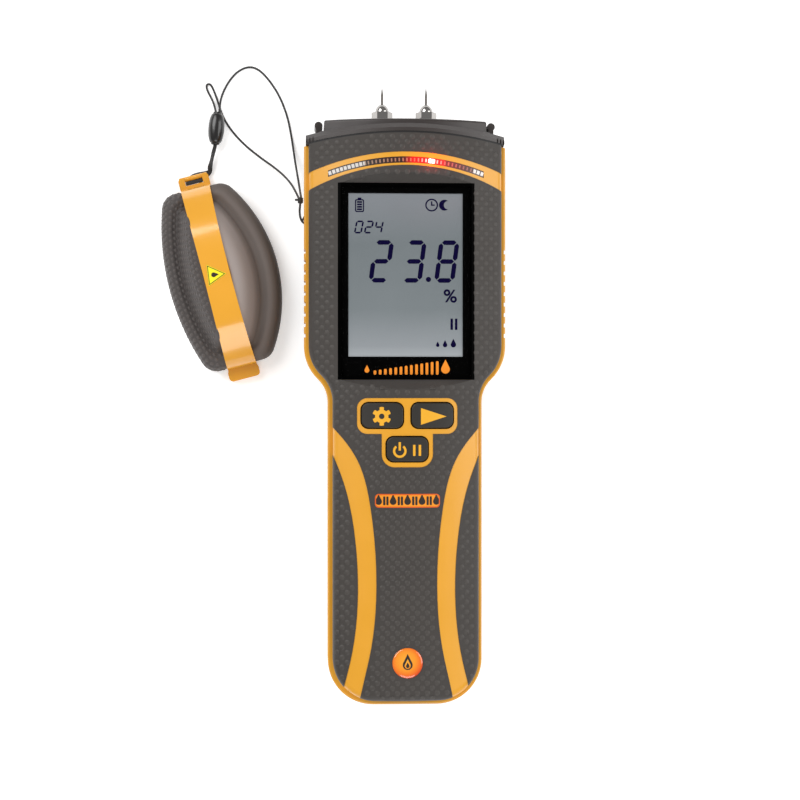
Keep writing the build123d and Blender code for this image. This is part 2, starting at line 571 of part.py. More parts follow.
chips = [(-8, 44, 10, 10, 1.2), (10, 34, 7, 5, 1.5), (-12, 62, 6, 6, 1.0), (4, 24, 12, 4, 2.4),
         (-10, 8, 5, 4, 1.4), (8, -6, 8, 5, 1.6), (-9, 28, 4, 3, 1.2)]
with BuildPart() as board_components:
    for x, y, length, width, height in chips:
        with Locations((x, y, BOARD_Z)):
            Box(length, width, height, align=(Align.CENTER, Align.CENTER, Align.MAX))
save(board_components, "board_components")

with BuildPart() as buzzer:
    with Locations((11.5, 58, BOARD_Z)):
        Cylinder(6.0, 3.4, align=(Align.CENTER, Align.CENTER, Align.MAX))
    with Locations((11.5, 58, BOARD_Z - 3.4)):
        Cylinder(1.0, 1.2, align=(Align.CENTER, Align.CENTER, Align.MIN), mode=Mode.SUBTRACT)
save(buzzer, "buzzer")

# ---------------------------------------------------------------- keys
with BuildPart() as key_mat:
    add(box_between((-15.8, 15.8), (-16.9, 4.6), (MAT_Z, KEY_Z - KEY_TRAVEL - 0.1), 1.5))
    for left, right, low, high in KEYS.values():
        with Locations(((left + right) / 2, (low + high) / 2, MAT_Z)):
            Cylinder(2.2, MAT_Z - DOME_TOP_Z - 0.2, align=(Align.CENTER, Align.CENTER, Align.MAX))
save(key_mat, "key_mat")

with BuildPart() as dome_switches:
    for left, right, low, high in KEYS.values():
        with Locations(((left + right) / 2, (low + high) / 2, BOARD_Z + BOARD_THICK)):
            Cylinder(3.0, 0.2, align=(Align.CENTER, Align.CENTER, Align.MIN))
            Cone(2.6, 1.2, DOME_TOP_Z - BOARD_Z - BOARD_THICK, align=(Align.CENTER, Align.CENTER, Align.MIN))
save(dome_switches, "dome_switches")

key_crown = envelope(BAND_STEP, -KEY_PROUD, BAND_HIGH, 40)
for name, limits in KEYS.items():
    with BuildPart() as key:
        add(key_block(limits, (KEY_Z, 40)))
        add(key_crown, mode=Mode.INTERSECT)
        fillet(key.faces().sort_by(Axis.Z)[-1].edges(), 0.35)
        add(key_block(limits, (KEY_Z, KEY_Z + KEY_FLANGE), 0.8))
    save(key, name)

# ---------------------------------------------------------------- name plate and badge
with BuildPart() as name_plate:
    add(box_between(*shrink(plate_limits, 0.03), (31, 40), 1.17))
    add(envelope(BAND_STEP, 0.1, BAND_HIGH, 40), mode=Mode.INTERSECT)
    add(front_inner, mode=Mode.SUBTRACT)
save(name_plate, "name_plate")

with BuildPart() as badge:
    with Locations((*badge_at, 31)):
        Cylinder(badge_r - 0.03, THICKNESS - 31 + 0.1, align=(Align.CENTER, Align.CENTER, Align.MIN))
    fillet(badge.edges().sort_by(Axis.Z)[-1], 1.0)
    add(front_inner, mode=Mode.SUBTRACT)
save(badge, "badge")

# ---------------------------------------------------------------- batteries, contacts, cover
cell_low = (BAY_LOW + BAY_HIGH - CELL_LENGTH - CELL_NUB) / 2
for number, x, up in ((1, -CELL_X, 1), (2, CELL_X, -1)):
    with BuildPart() as battery:
        start = cell_low + (0 if up > 0 else CELL_NUB)
        add(round_bar(x, CELL_Z, CELL_R, start, start + CELL_LENGTH))
        fillet(battery.edges().filter_by(GeomType.CIRCLE), 0.6)
        nub = start + CELL_LENGTH if up > 0 else start - CELL_NUB
        add(round_bar(x, CELL_Z, 2.7, nub, nub + CELL_NUB))
    save(battery, f"battery_{number}")

CONTACT = 0.4
with BuildPart() as battery_contacts:
    for end, wall_y in ((-1, BAY_LOW + 0.2), (1, BAY_HIGH - 0.2)):
        cell_end = cell_low if end < 0 else cell_low + CELL_LENGTH + CELL_NUB
        plates = [(-14.0, 14.0)] if end < 0 else [(-13.6, -1.4), (1.4, 13.6)]
        for left, right in plates:
            y = (wall_y, wall_y - end * CONTACT)
            add(box_between((left, right), (min(y), max(y)), (CELL_Z - 5, CELL_Z + 6)))
        for x in (-CELL_X, CELL_X):
            gap = abs(cell_end - wall_y)
            with BuildSketch(Plane.XY.offset(CELL_Z - 2)):
                with BuildLine():
                    foot = wall_y - end * CONTACT * 0.8
                    peak = cell_end
                    ThreePointArc((x - 4.0, foot), (x, peak + end * CONTACT), (x + 4.0, foot))
                    ThreePointArc((x - 4.6, foot), (x, peak), (x + 4.6, foot))
                    Line((x - 4.0, foot), (x - 4.6, foot))
                    Line((x + 4.0, foot), (x + 4.6, foot))
                make_face()
            extrude(amount=4)
save(battery_contacts, "battery_contacts")

with BuildPart() as battery_cover:
    limits = shrink(((-BAY_HALF, BAY_HALF), (BAY_LOW, BAY_HIGH)), COVER_CLEARANCE)
    add(envelope(BAND_STEP, 0.15, -1, 10) & box_between(*limits, (-1, COVER_TOP - 0.2), COVER_CORNER))
    for i in range(3):
        with Locations((0, BAY_HIGH - 5.0 - 2.2 * i, 0.15)):
            Box(12, 1.0, 0.8, mode=Mode.SUBTRACT)
    for x in (-3.5, 3.5):
        add(box_between((x - 1.4, x + 1.4), (BAY_LOW - 1.0, BAY_LOW + 1.5), (1.15, COVER_TOP - 0.3)))
save(battery_cover, "battery_cover")

# ---------------------------------------------------------------- pin cap, lying mouth down beside the meter
strap_way = (cos(radians(CAP_TILT)), sin(radians(CAP_TILT)), 0)
cap_plane = Plane(origin=(CAP_X, CAP_Y, 0), x_dir=strap_way, z_dir=(0, 0, 1))
cap_side_plane = Plane(origin=(CAP_X, CAP_Y, 0), x_dir=strap_way, z_dir=-cap_plane.y_dir)


def cap_outline(inset, z, corner, shift=0.0):
    """The cap seen from above, moved inwards by inset and then sideways by shift."""
    end = CAP_END - inset
    sides = []
    for sign, radius, bulge in ((1, CAP_FRONT_R, CAP_FRONT_BULGE), (-1, CAP_BACK_R, CAP_BACK_BULGE)):
        middle = sign * (bulge - inset) + shift
        sides.append((middle - sign * (radius - inset - sqrt((radius - inset) ** 2 - end ** 2)), middle))
    (front, front_mid), (back, back_mid) = sides
    with BuildSketch(cap_plane.offset(z)) as sketch:
        with BuildLine():
            ThreePointArc((-end, front), (0, front_mid), (end, front))
            Line((end, front), (end, back))
            ThreePointArc((end, back), (0, back_mid), (-end, back))
            Line((-end, back), (-end, front))
        make_face()
        fillet(sketch.vertices(), corner)
    return sketch.sketch


def cap_block(inset, low=0.0):
    """The cap as a solid block, a wide skirt with a narrower crown, moved inwards by inset."""
    with BuildPart() as block:
        extrude(cap_outline(inset, low, 4.5 - inset / 2), amount=CAP_SKIRT_Z - inset - low)
        fillet(block.faces().sort_by(Axis.Z)[-1].edges(), 2.4)
        foot = cap_outline(CAP_CROWN_INSET + inset, low, 7.4 - inset, CAP_CROWN_SHIFT)
        head = cap_outline(CAP_CROWN_INSET + CAP_CROWN_SLOPE + inset, CAP_CROWN_Z - inset, 3.4 - inset * 0.7,
                           CAP_CROWN_SHIFT)
        loft([foot, head])
        fillet(block.faces().sort_by(Axis.Z)[-1].edges(), 2.0 - inset / 2)
    return block.part


def strap_plan():
    """The strap seen from above, narrowest in the middle, with a wider tab at its far end."""
    with BuildSketch(cap_plane) as plan:
        with BuildLine():
            ThreePointArc((-30.5, STRAP_END_HALF), (0, STRAP_MID_HALF), (30.5, STRAP_END_HALF))
            Line((30.5, STRAP_END_HALF), (30.5, -STRAP_END_HALF))
            ThreePointArc((30.5, -STRAP_END_HALF), (0, -STRAP_MID_HALF), (-30.5, -STRAP_END_HALF))
            Line((-30.5, -STRAP_END_HALF), (-30.5, STRAP_END_HALF))
        make_face()
        with Locations(((TAB_END + 29.9) / 2, 0)):
            RectangleRounded(TAB_END - 29.9, 2 * TAB_HALF, TAB_CORNER)
    return plan.sketch


with BuildPart() as strap_prism:
    extrude(strap_plan(), amount=30)
with BuildPart() as strap_block:
    with BuildSketch(cap_side_plane.offset(-TAB_HALF)):
        with BuildLine():
            top = Spline(STRAP_RISE + [(-u, z) for u, z in STRAP_RISE[-2::-1]])
            Polyline(top @ 1, (29.9, 3.0), (TAB_END, 3.0), (TAB_END, 0.9), (-29.9, 0.9), top @ 0)
        make_face()
    extrude(amount=2 * TAB_HALF)
    add(strap_prism.part, mode=Mode.INTERSECT)
cap_outer, cap_middle, cap_inner = cap_block(0), cap_block(CAP_SKIN), cap_block(CAP_SKIN + CAP_WALL, -1)
strap_slab = strap_block.part

with BuildPart() as cap_core:
    add(cap_middle)
    add(strap_slab)
    with BuildSketch(cap_plane.offset(EYE_Z - 1.0)):
        with Locations((EYE_U + 1.9, 0)):
            RectangleRounded(5.0, 2 * TAB_HALF - 0.2, TAB_CORNER)
        with Locations((EYE_U + 0.6, 0)):
            Rectangle(3.4, 5.8, mode=Mode.SUBTRACT)
    extrude(amount=2.0)
    with BuildSketch(cap_side_plane.offset(0.5 - TAB_HALF)):
        with Locations((EYE_U, EYE_Z)):
            Circle(EYE_R)
    extrude(amount=2 * TAB_HALF - 1.0)
    add(cap_inner, mode=Mode.SUBTRACT)
save(cap_core, "cap_core")

for name, sign in (("cap_grip_textured", -1), ("cap_grip_smooth", 1)):
    with BuildPart() as cap_grip:
        add(cap_outer)
        with BuildSketch(cap_plane):
            with Locations((0, sign * 20)):
                Rectangle(100, 40)
        extrude(amount=40, mode=Mode.INTERSECT)
        add(strap_prism.part, mode=Mode.SUBTRACT)
        add(cap_middle, mode=Mode.SUBTRACT)
    save(cap_grip, name)

with BuildPart() as cap_label:
    with BuildSketch(cap_plane.offset(10)):
        with Locations((LABEL_U, LABEL_V)):
            RegularPolygon(LABEL_R, 3, rotation=LABEL_TURN)
    extrude(amount=20)
    label_under = strap_slab.moved(Location((0, 0, 0.02)))
    add(strap_slab.moved(Location((0, 0, 0.14))), mode=Mode.INTERSECT)
    add(label_under, mode=Mode.SUBTRACT)
save(cap_label, "cap_label")

# ---------------------------------------------------------------- lanyard: bead, cords, knot, tether ribbon
bead_across = (cos(radians(BEAD_TURN)), sin(radians(BEAD_TURN)), 0)
bead_plane = Plane(origin=(BEAD_X, BEAD_Y, BEAD_Z), x_dir=bead_across, z_dir=(0, 0, 1))
with BuildPart() as lanyard_bead:
    with BuildSketch(bead_plane):
        with BuildLine():
            Line((0, -BEAD_HALF), (1.25, -BEAD_HALF))
            ThreePointArc((1.25, -BEAD_HALF), (BEAD_R, 0), (1.25, BEAD_HALF))
            Line((1.25, BEAD_HALF), (0, BEAD_HALF))
            Line((0, BEAD_HALF), (0, -BEAD_HALF))
        make_face()
    revolve(axis=Axis(bead_plane.origin, bead_plane.y_dir))
save(lanyard_bead, "lanyard_bead")

cord_long_route = [
    tuple(bead_plane.from_local_coords((0.55, BEAD_HALF, 0))),
    (-59.1, 99.8, 1.6), (-58.5, 103.3, CORD_Z), (-56.2, 107.8, CORD_Z), (-53.2, 111.1, CORD_Z),
    (-49.6, 112.6, CORD_Z), (-46.4, 111.6, CORD_Z), (-43.0, 108.0, CORD_Z), (-39.8, 103.1, CORD_Z),
    (-37.3, 96.8, CORD_Z), (-36.0, 90.6, CORD_Z), (-35.2, 85.0, 0.9),
    (-34.4, 79.6, 3.4), (-33.6, 74.4, 8.6), (-33.0, 70.2, 13.6), (-32.6, 67.2, 18.0),
]
cord_short_route = [
    tuple(bead_plane.from_local_coords((-0.55, BEAD_HALF, 0))),
    (-60.9, 99.7, 1.4), (-62.1, 102.4, CORD_Z), (-63.3, 104.6, CORD_Z),
    (-63.6, 106.5, CORD_Z), (-62.2, 106.8, CORD_Z), (-61.1, 104.5, CORD_Z), (-59.9, 101.2, CORD_Z),
    (-58.9, 97.8, CORD_Z), (-57.3, 94.3, CORD_Z), (-54.5, 90.4, CORD_Z), (-50.6, 86.4, CORD_Z),
    (-45.8, 82.6, 0.8), (-41.2, 79.2, 2.8), (-37.6, 75.6, 6.8), (-34.9, 71.6, 12.2), (-33.3, 67.3, 17.8),
]


def cord(route, name):
    """A round cord along straight runs joined by arcs."""
    points = [Vector(*p) for p in route]
    radii = []
    for before, at, after in zip(points, points[1:], points[2:]):
        run, turn = min((at - before).length, (after - at).length), (at - before).get_angle(after - at)
        radii.append(0.45 * run / tan(radians(turn) / 2))
    with BuildPart() as tube:
        with BuildLine() as path:
            FilletPolyline(*points, radius=radii)
        with BuildSketch(Plane(origin=path.line @ 0, z_dir=path.line % 0)):
            Circle(CORD_D / 2)
        sweep()
    save(tube, name)


cord(cord_long_route, "cord_long")
cord(cord_short_route, "cord_short")

with BuildPart() as lanyard_hitch:
    with Locations(KNOT):
        Sphere(1.0)
    with BuildSketch(Plane(origin=(LUG_X, LUG_Y - 1.25, SPLIT_Z), z_dir=(1, 0, 0))):
        Circle(0.36)
    revolve(axis=Axis((LUG_X, LUG_Y, SPLIT_Z), (0, 0, 1)))
    with BuildLine() as path:
        FilletPolyline(KNOT, (-33.1, 63.4, 18.0), (-32.8, 61.0, 18.0), (-31.5, 60.2, 18.0), radius=[3.0, 1.2])
    with BuildSketch(Plane(origin=path.line @ 0, z_dir=path.line % 0)):
        Circle(0.55)
    sweep()
save(lanyard_hitch, "lanyard_hitch")

bead_foot = bead_plane.from_local_coords((0, -BEAD_HALF, 0))
ring_out = cap_plane.from_local_coords((EYE_U - 1.2, 0, 0))
across = cap_plane.y_dir
with BuildPart() as tether_ribbon:
    with BuildSketch(cap_side_plane.offset(-2.3)):
        with Locations((EYE_U, EYE_Z)):
            Circle(EYE_R + 0.6)
            Circle(EYE_R + 0.12, mode=Mode.SUBTRACT)
    extrude(amount=4.6)
    with BuildSketch(Plane.XY.offset(1.3)):
        with BuildLine():
            near, far = ring_out - across * 2.2, ring_out + across * 2.2
            Polyline((near.X, near.Y), (far.X, far.Y), (bead_foot.X + 0.7, bead_foot.Y),
                     (bead_foot.X - 0.7, bead_foot.Y), close=True)
        make_face()
    extrude(amount=0.7)
    add(lanyard_bead.part, mode=Mode.SUBTRACT)
save(tether_ribbon, "tether_ribbon")
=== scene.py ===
"""Looks of a two-pin moisture meter lying on its back beside its tethered pin cap.

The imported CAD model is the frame. Its hard parts keep their meshes and get materials. The lanyard, the cap's
soft skins, the dimples of the grips, the display's figures, the light bar's cells and the printed marks are
made here. Lengths are in millimetres until a mesh is made, X across the meter, Y towards its pins, Z up.
"""
import math

import bmesh
import bpy
from mathutils import Matrix, Vector
from mathutils.bvhtree import BVHTree


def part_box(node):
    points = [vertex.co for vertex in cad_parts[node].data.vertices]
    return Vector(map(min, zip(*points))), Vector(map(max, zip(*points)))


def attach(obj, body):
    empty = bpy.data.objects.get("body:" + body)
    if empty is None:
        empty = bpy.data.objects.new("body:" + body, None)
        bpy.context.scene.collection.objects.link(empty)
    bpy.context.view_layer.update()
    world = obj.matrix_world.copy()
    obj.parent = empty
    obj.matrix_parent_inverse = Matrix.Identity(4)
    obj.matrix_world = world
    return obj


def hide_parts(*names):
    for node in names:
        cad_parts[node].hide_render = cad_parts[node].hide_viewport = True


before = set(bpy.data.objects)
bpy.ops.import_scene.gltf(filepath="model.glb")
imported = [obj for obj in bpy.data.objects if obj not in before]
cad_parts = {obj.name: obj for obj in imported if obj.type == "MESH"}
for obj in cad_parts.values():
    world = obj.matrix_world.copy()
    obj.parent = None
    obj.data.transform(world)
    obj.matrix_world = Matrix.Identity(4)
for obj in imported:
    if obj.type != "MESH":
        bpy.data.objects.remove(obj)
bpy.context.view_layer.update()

MM = 0.001
THICKNESS, FRONT_R = 34.0, 65.0       # the front is a dome of this radius, seen end on
UP = Vector((0, 0, 1))


# ---------------------------------------------------------------- camera
def aim(thing, place, target, up=(0, 1, 0)):
    """Stands a camera or a light at a place and points it at a target."""
    forward = (Vector(target) - Vector(place)).normalized()
    right = forward.cross(Vector(up)).normalized()
    turn = Matrix((right, right.cross(forward), -forward)).transposed().to_4x4()
    thing.matrix_world = Matrix.Translation(Vector(place)) @ turn


camera = bpy.data.objects.new("camera", bpy.data.cameras.new("camera"))
bpy.context.scene.collection.objects.link(camera)
bpy.context.scene.camera = camera
camera.data.lens = 79.4
aim(camera, (-0.0313, 0.0037, 0.578), (-0.0013, 0.0037, 0.018))


# ---------------------------------------------------------------- materials
def srgb(red, green, blue):
    """A colour given in 8-bit sRGB, as linear values."""
    linear = [((c / 255 + 0.055) / 1.055) ** 2.4 if c > 10 else c / 3294.6 for c in (red, green, blue)]
    return (*linear, 1.0)


def shade(colour, by):
    """The colour made lighter or darker by a share."""
    return (*[min(c * (1 + by), 1.0) for c in colour[:3]], 1.0)


def noise(nodes, links, where, scale, detail=2.0):
    """Noise over the object's own coordinates, in metres."""
    node = nodes.new("ShaderNodeTexNoise")
    node.inputs["Scale"].default_value = scale
    node.inputs["Detail"].default_value = detail
    links.new(where.outputs["Object"], node.inputs["Vector"])
    return node


def arithmetic(nodes, links, operation, *terms):
    """A Math node's result over sockets and numbers."""
    node = nodes.new("ShaderNodeMath")
    node.operation = operation
    for socket, term in zip(node.inputs, terms):
        if isinstance(term, (int, float)):
            socket.default_value = term
        else:
            links.new(term, socket)
    return node.outputs["Value"]


def spread(nodes, links, source, low, high):
    """A value of about 0.3 to 0.7 spread over a range."""
    node = nodes.new("ShaderNodeMapRange")
    for name, value in (("From Min", 0.3), ("From Max", 0.7), ("To Min", low), ("To Max", high)):
        node.inputs[name].default_value = value
    links.new(source, node.inputs["Value"])
    return node.outputs["Result"]


def surface(name, colour, roughness, grain=(2500, 0.02), tint=0.05, wander=0.05, **sockets):
    """A surface with a fine grain in its bump, and slow changes of colour and roughness."""
    material = bpy.data.materials.new(name)
    material.use_nodes = True
    nodes, links = material.node_tree.nodes, material.node_tree.links
    shader = nodes["Principled BSDF"]
    where = nodes.new("ShaderNodeTexCoord")
    fine = noise(nodes, links, where, grain[0], 3.0)
    slow = noise(nodes, links, where, 90.0)
    mix = nodes.new("ShaderNodeMix")
    mix.data_type = "RGBA"
    mix.inputs["A"].default_value = shade(colour, -tint)
    mix.inputs["B"].default_value = shade(colour, tint)
    drift = spread(nodes, links, slow.outputs["Fac"], 0.0, 0.5)
    blend = arithmetic(nodes, links, "MULTIPLY_ADD", fine.outputs["Fac"], 0.5, drift)
    links.new(blend, mix.inputs["Factor"])
    links.new(mix.outputs["Result"], shader.inputs["Base Color"])
    rough = spread(nodes, links, slow.outputs["Fac"], roughness - wander, roughness + wander)
    links.new(rough, shader.inputs["Roughness"])
    bump = nodes.new("ShaderNodeBump")
    bump.inputs["Distance"].default_value = grain[1] * MM
    bump.inputs["Strength"].default_value = 1.0
    links.new(fine.outputs["Fac"], bump.inputs["Height"])
    links.new(bump.outputs["Normal"], shader.inputs["Normal"])
    for key, value in sockets.items():
        shader.inputs[key.replace("_", " ")].default_value = value
    return material


def along_axis(nodes, links, axis, low, high):
    """Share of the way from low to high, in millimetres, along one axis of the object."""
    where = nodes.new("ShaderNodeTexCoord")
    split = nodes.new("ShaderNodeSeparateXYZ")
    links.new(where.outputs["Object"], split.inputs["Vector"])
    share = nodes.new("ShaderNodeMapRange")
    share.inputs["From Min"].default_value = low * MM
    share.inputs["From Max"].default_value = high * MM
    links.new(split.outputs[axis], share.inputs["Value"])
    return share.outputs["Result"]


def ramp(nodes, links, source, stops):
    """A colour ramp through stops of (share, colour)."""
    node = nodes.new("ShaderNodeValToRGB")
    elements = node.color_ramp.elements
    while len(elements) < len(stops):
        elements.new(0.5)
    for element, (share, colour) in zip(elements, sorted(stops)):
        element.position = share
        element.color = colour
    links.new(source, node.inputs["Fac"])
    return node


def graded(name, axis, limits, stops, roughness, glow=None):
    """A surface whose colour runs along one axis, with an optional glow that runs along it too."""
    material = surface(name, stops[0][1], roughness)
    nodes, links = material.node_tree.nodes, material.node_tree.links
    shader = nodes["Principled BSDF"]
    low, high = limits
    share = along_axis(nodes, links, axis, low, high)
    places = [((at - low) / (high - low), colour) for at, colour in stops]
    colour = ramp(nodes, links, share, places)
    links.new(colour.outputs["Color"], shader.inputs["Base Color"])
    if glow:
        peak = max(value for _, value in glow)
        greys = [((at - low) / (high - low), (value / peak,) * 3 + (1.0,)) for at, value in glow]
        strength = ramp(nodes, links, share, greys).outputs["Color"]
        links.new(arithmetic(nodes, links, "MULTIPLY", strength, peak), shader.inputs["Emission Strength"])
        links.new(colour.outputs["Color"], shader.inputs["Emission Color"])
    return material


def clear_window(name, clear_x, clear_low, clear_high):
    """A hard window: see-through inside a black rim, with the gloss of a flat polished sheet."""
    material = bpy.data.materials.new(name)
    material.use_nodes = True
    nodes, links = material.node_tree.nodes, material.node_tree.links
    nodes.remove(nodes["Principled BSDF"])
    clear = nodes.new("ShaderNodeBsdfTransparent")
    gloss = nodes.new("ShaderNodeBsdfGlossy")
    where = nodes.new("ShaderNodeTexCoord")
    smear = noise(nodes, links, where, 60.0)
    links.new(spread(nodes, links, smear.outputs["Fac"], 0.03, 0.09), gloss.inputs["Roughness"])
    fresnel = nodes.new("ShaderNodeFresnel")
    fresnel.inputs["IOR"].default_value = 1.05
    split = nodes.new("ShaderNodeSeparateXYZ")
    links.new(where.outputs["Object"], split.inputs["Vector"])
    outside = 0.0
    for axis, operation, limit in (("X", "GREATER_THAN", clear_x), ("X", "LESS_THAN", -clear_x),
                                   ("Y", "LESS_THAN", clear_low), ("Y", "GREATER_THAN", clear_high)):
        beyond = arithmetic(nodes, links, operation, split.outputs[axis], limit * MM)
        outside = arithmetic(nodes, links, "MAXIMUM", outside, beyond)
    rim = nodes.new("ShaderNodeBsdfDiffuse")
    rim.inputs["Color"].default_value = (0.0008, 0.0008, 0.0008, 1.0)
    body = nodes.new("ShaderNodeMixShader")
    links.new(outside, body.inputs["Fac"])
    links.new(clear.outputs["BSDF"], body.inputs[1])
    links.new(rim.outputs["BSDF"], body.inputs[2])
    mix = nodes.new("ShaderNodeMixShader")
    links.new(fresnel.outputs["Fac"], mix.inputs["Fac"])
    links.new(body.outputs["Shader"], mix.inputs[1])
    links.new(gloss.outputs["BSDF"], mix.inputs[2])
    links.new(mix.outputs["Shader"], nodes["Material Output"].inputs["Surface"])
    return material


ORANGE = srgb(216, 152, 36)
RUBBER = srgb(50, 45, 41)
INK = srgb(10, 6, 44)
MARK = srgb(225, 162, 26)

orange_plastic = surface("orange_plastic", ORANGE, 0.36, (3000, 0.006), tint=0.03)
grip_rubber = surface("grip_rubber", RUBBER, 0.62, (3600, 0.03), tint=0.14, Sheen_Weight=0.08)
grip_dimple = surface("grip_dimple", srgb(58, 53, 49), 0.55, (3600, 0.02), tint=0.10, Sheen_Weight=0.08)
# Painted shade and light: the smooth skin runs from a dark brownish grey at the floor, which is painted shade,
# to a pale grey on the crown, which is painted light on its upward faces.
cap_rubber = graded("cap_rubber", "Z", (0.0, 18.0),
                    [(0.0, srgb(50, 40, 33)), (6.0, srgb(64, 54, 47)), (9.3, srgb(92, 83, 78)),
                     (9.8, srgb(112, 103, 99)), (12.5, srgb(146, 136, 132)), (18.0, srgb(150, 140, 136))],
                    0.66)
cap_rubber_dark = surface("cap_rubber_dark", srgb(66, 60, 58), 0.65, (3200, 0.03), tint=0.08,
                          Sheen_Weight=0.1)
cap_dimple = surface("cap_dimple", srgb(76, 69, 66), 0.6, (3200, 0.02), tint=0.08, Sheen_Weight=0.1)
end_plastic = surface("end_plastic", srgb(47, 40, 38), 0.42, (2600, 0.012), tint=0.05)
black_rubber = surface("black_rubber", srgb(14, 13, 13), 0.6, tint=0.15)
key_rubber = surface("key_rubber", srgb(30, 26, 20), 0.5, (3000, 0.012), tint=0.08)
window_print = surface("window_print", srgb(1, 1, 1), 0.5, (1500, 0.002), tint=0.2, Specular_IOR_Level=0.02)
key_mark = surface("key_mark", MARK, 0.5, (3000, 0.006), tint=0.05)
display_ink = surface("display_ink", INK, 0.5, (1500, 0.002), tint=0.06, Specular_IOR_Level=0.02)
window_mark = surface("window_mark", srgb(238, 138, 20), 0.45, (2000, 0.002), tint=0.05)
dark_mark = surface("dark_mark", srgb(34, 24, 18), 0.45, (2000, 0.004), tint=0.1)
plate_face = surface("plate_face", srgb(232, 142, 30), 0.35, (2600, 0.006), tint=0.04)
plate_edge = surface("plate_edge", srgb(214, 88, 16), 0.4, (2600, 0.006), tint=0.06)
label_yellow = surface("label_yellow", srgb(238, 226, 20), 0.4, (2000, 0.004), tint=0.04)
bead_black = surface("bead_black", srgb(18, 16, 16), 0.3, (1800, 0.004), tint=0.2, Coat_Weight=0.3)
cord_black = surface("cord_black", srgb(26, 24, 24), 0.65, (5200, 0.05), tint=0.35, Sheen_Weight=0.3)
strap_plastic = surface("strap_plastic", srgb(224, 158, 40), 0.2, (3000, 0.004), tint=0.03, Coat_Weight=0.7,
                        Coat_Roughness=0.1)
ribbon_black = surface("ribbon_black", srgb(20, 18, 18), 0.6, (6000, 0.04), tint=0.3, Sheen_Weight=0.2)
chrome = surface("chrome", srgb(168, 165, 162), 0.08, (2500, 0.003), wander=0.04, Metallic=1.0)
needle_steel = surface("needle_steel", srgb(92, 88, 85), 0.25, (4000, 0.004), Metallic=1.0)
screw_steel = surface("screw_steel", srgb(150, 148, 146), 0.32, (4000, 0.006), Metallic=1.0)
brass = surface("brass", srgb(206, 172, 96), 0.28, (3500, 0.005), Metallic=1.0)
inner_plastic = surface("inner_plastic", srgb(40, 40, 42), 0.5)
light_guide = surface("light_guide", srgb(228, 230, 228), 0.35)
board_green = surface("board_green", srgb(24, 92, 52), 0.4, (1200, 0.01), tint=0.12)
led_white = surface("led_white", srgb(226, 222, 200), 0.35)
chip_black = surface("chip_black", srgb(24, 24, 26), 0.45)
battery_wrap = surface("battery_wrap", srgb(60, 70, 78), 0.3, (1500, 0.004), Coat_Weight=0.4)

# Painted light: the display face is lighter near its lower edge and its upper end, and darker through the
# middle.
lcd_face = graded(
    "lcd_face", "Y", (17.2, 68.1),
    [(17.2, srgb(153, 158, 161)), (20.5, srgb(134, 139, 143)), (32.0, srgb(110, 117, 120)),
     (52.0, srgb(103, 110, 113)), (68.1, srgb(118, 122, 127))], 0.4)
BAR_LIMITS = (-24.6, 24.6)
BAR_BED = srgb(30, 20, 17)
# Painted light: from about 2 to 12 mm the bed is bright red and glows, a painted spill of the lit cell's light,
# fading to the bed's own dark colour on either side.
bar_bed = graded(
    "bar_bed", "X", BAR_LIMITS,
    [(-24.6, srgb(60, 56, 54)), (-13.4, srgb(60, 52, 48)), (-12.6, BAR_BED), (-1.0, srgb(52, 20, 16)),
     (2.2, srgb(214, 14, 12)), (10.8, srgb(226, 18, 16)), (12.4, srgb(120, 22, 20)), (18.5, srgb(78, 30, 26)),
     (24.6, srgb(58, 46, 44))], 0.35,
    [(-24.6, 0.0), (-0.5, 0.0), (3.0, 0.25), (7.7, 0.9), (11.0, 0.4), (14.0, 0.06), (19.0, 0.0)])
# The lit cell at 7.7 mm glows as a lamp. The reddening and weak glow of the cells from about 3 to 12 mm around
# it are a painted spill of its light.
bar_cell = graded(
    "bar_cell", "X", BAR_LIMITS,
    [(-24.6, srgb(206, 202, 198)), (-13.2, srgb(200, 195, 190)), (-12.8, srgb(150, 122, 100)),
     (-2.0, srgb(168, 110, 84)), (3.0, srgb(236, 92, 70)), (6.6, srgb(255, 190, 180)),
     (7.7, srgb(255, 250, 246)), (9.2, srgb(255, 150, 140)), (12.0, srgb(214, 78, 72)),
     (18.5, srgb(150, 92, 84)), (20.6, srgb(150, 104, 96)), (21.2, srgb(226, 220, 216)),
     (24.6, srgb(226, 220, 216))], 0.4,
    [(-24.6, 0.0), (0.0, 0.0), (5.5, 0.4), (6.9, 1.6), (7.3, 9.0), (8.1, 9.0), (8.5, 1.6), (11.0, 0.4),
     (15.0, 0.0)])
window_clear = clear_window("window_clear", 20.2, 11.0, 70.2)

SLOT_MATERIALS = {
    "case_plastic": orange_plastic, "grip_rubber": grip_rubber, "grip_rubber_hard": grip_rubber,
    "seal_rubber": black_rubber, "steel": screw_steel, "needle_steel": needle_steel, "chrome": chrome,
    "brass": brass, "end_cap_plastic": end_plastic, "window": window_clear, "window_print": window_print,
    "lcd_glass": lcd_face, "light_guide": light_guide, "inner_plastic": inner_plastic, "light_bar": bar_bed,
    "board": board_green, "led": led_white, "chip": chip_black, "key_rubber": key_rubber,
    "badge_plastic": plate_face, "battery_wrap": battery_wrap, "cap_strap_plastic": strap_plastic,
    "cap_rubber": cap_rubber, "label_film": label_yellow, "bead_plastic": bead_black, "cord": cord_black,
    "ribbon": ribbon_black,
}
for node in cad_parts.values():
    for place in node.material_slots:
        place.material = SLOT_MATERIALS[place.material.name.split(".")[0]]


# ---------------------------------------------------------------- making pieces
def settle(piece, material, body, sharp=35.0):
    """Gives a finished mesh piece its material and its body."""
    piece.data.materials.append(material)
    if piece.type == "MESH":
        piece.data.shade_smooth()
        piece.data.set_sharp_from_angle(angle=math.radians(sharp))
    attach(piece, body)
    return piece


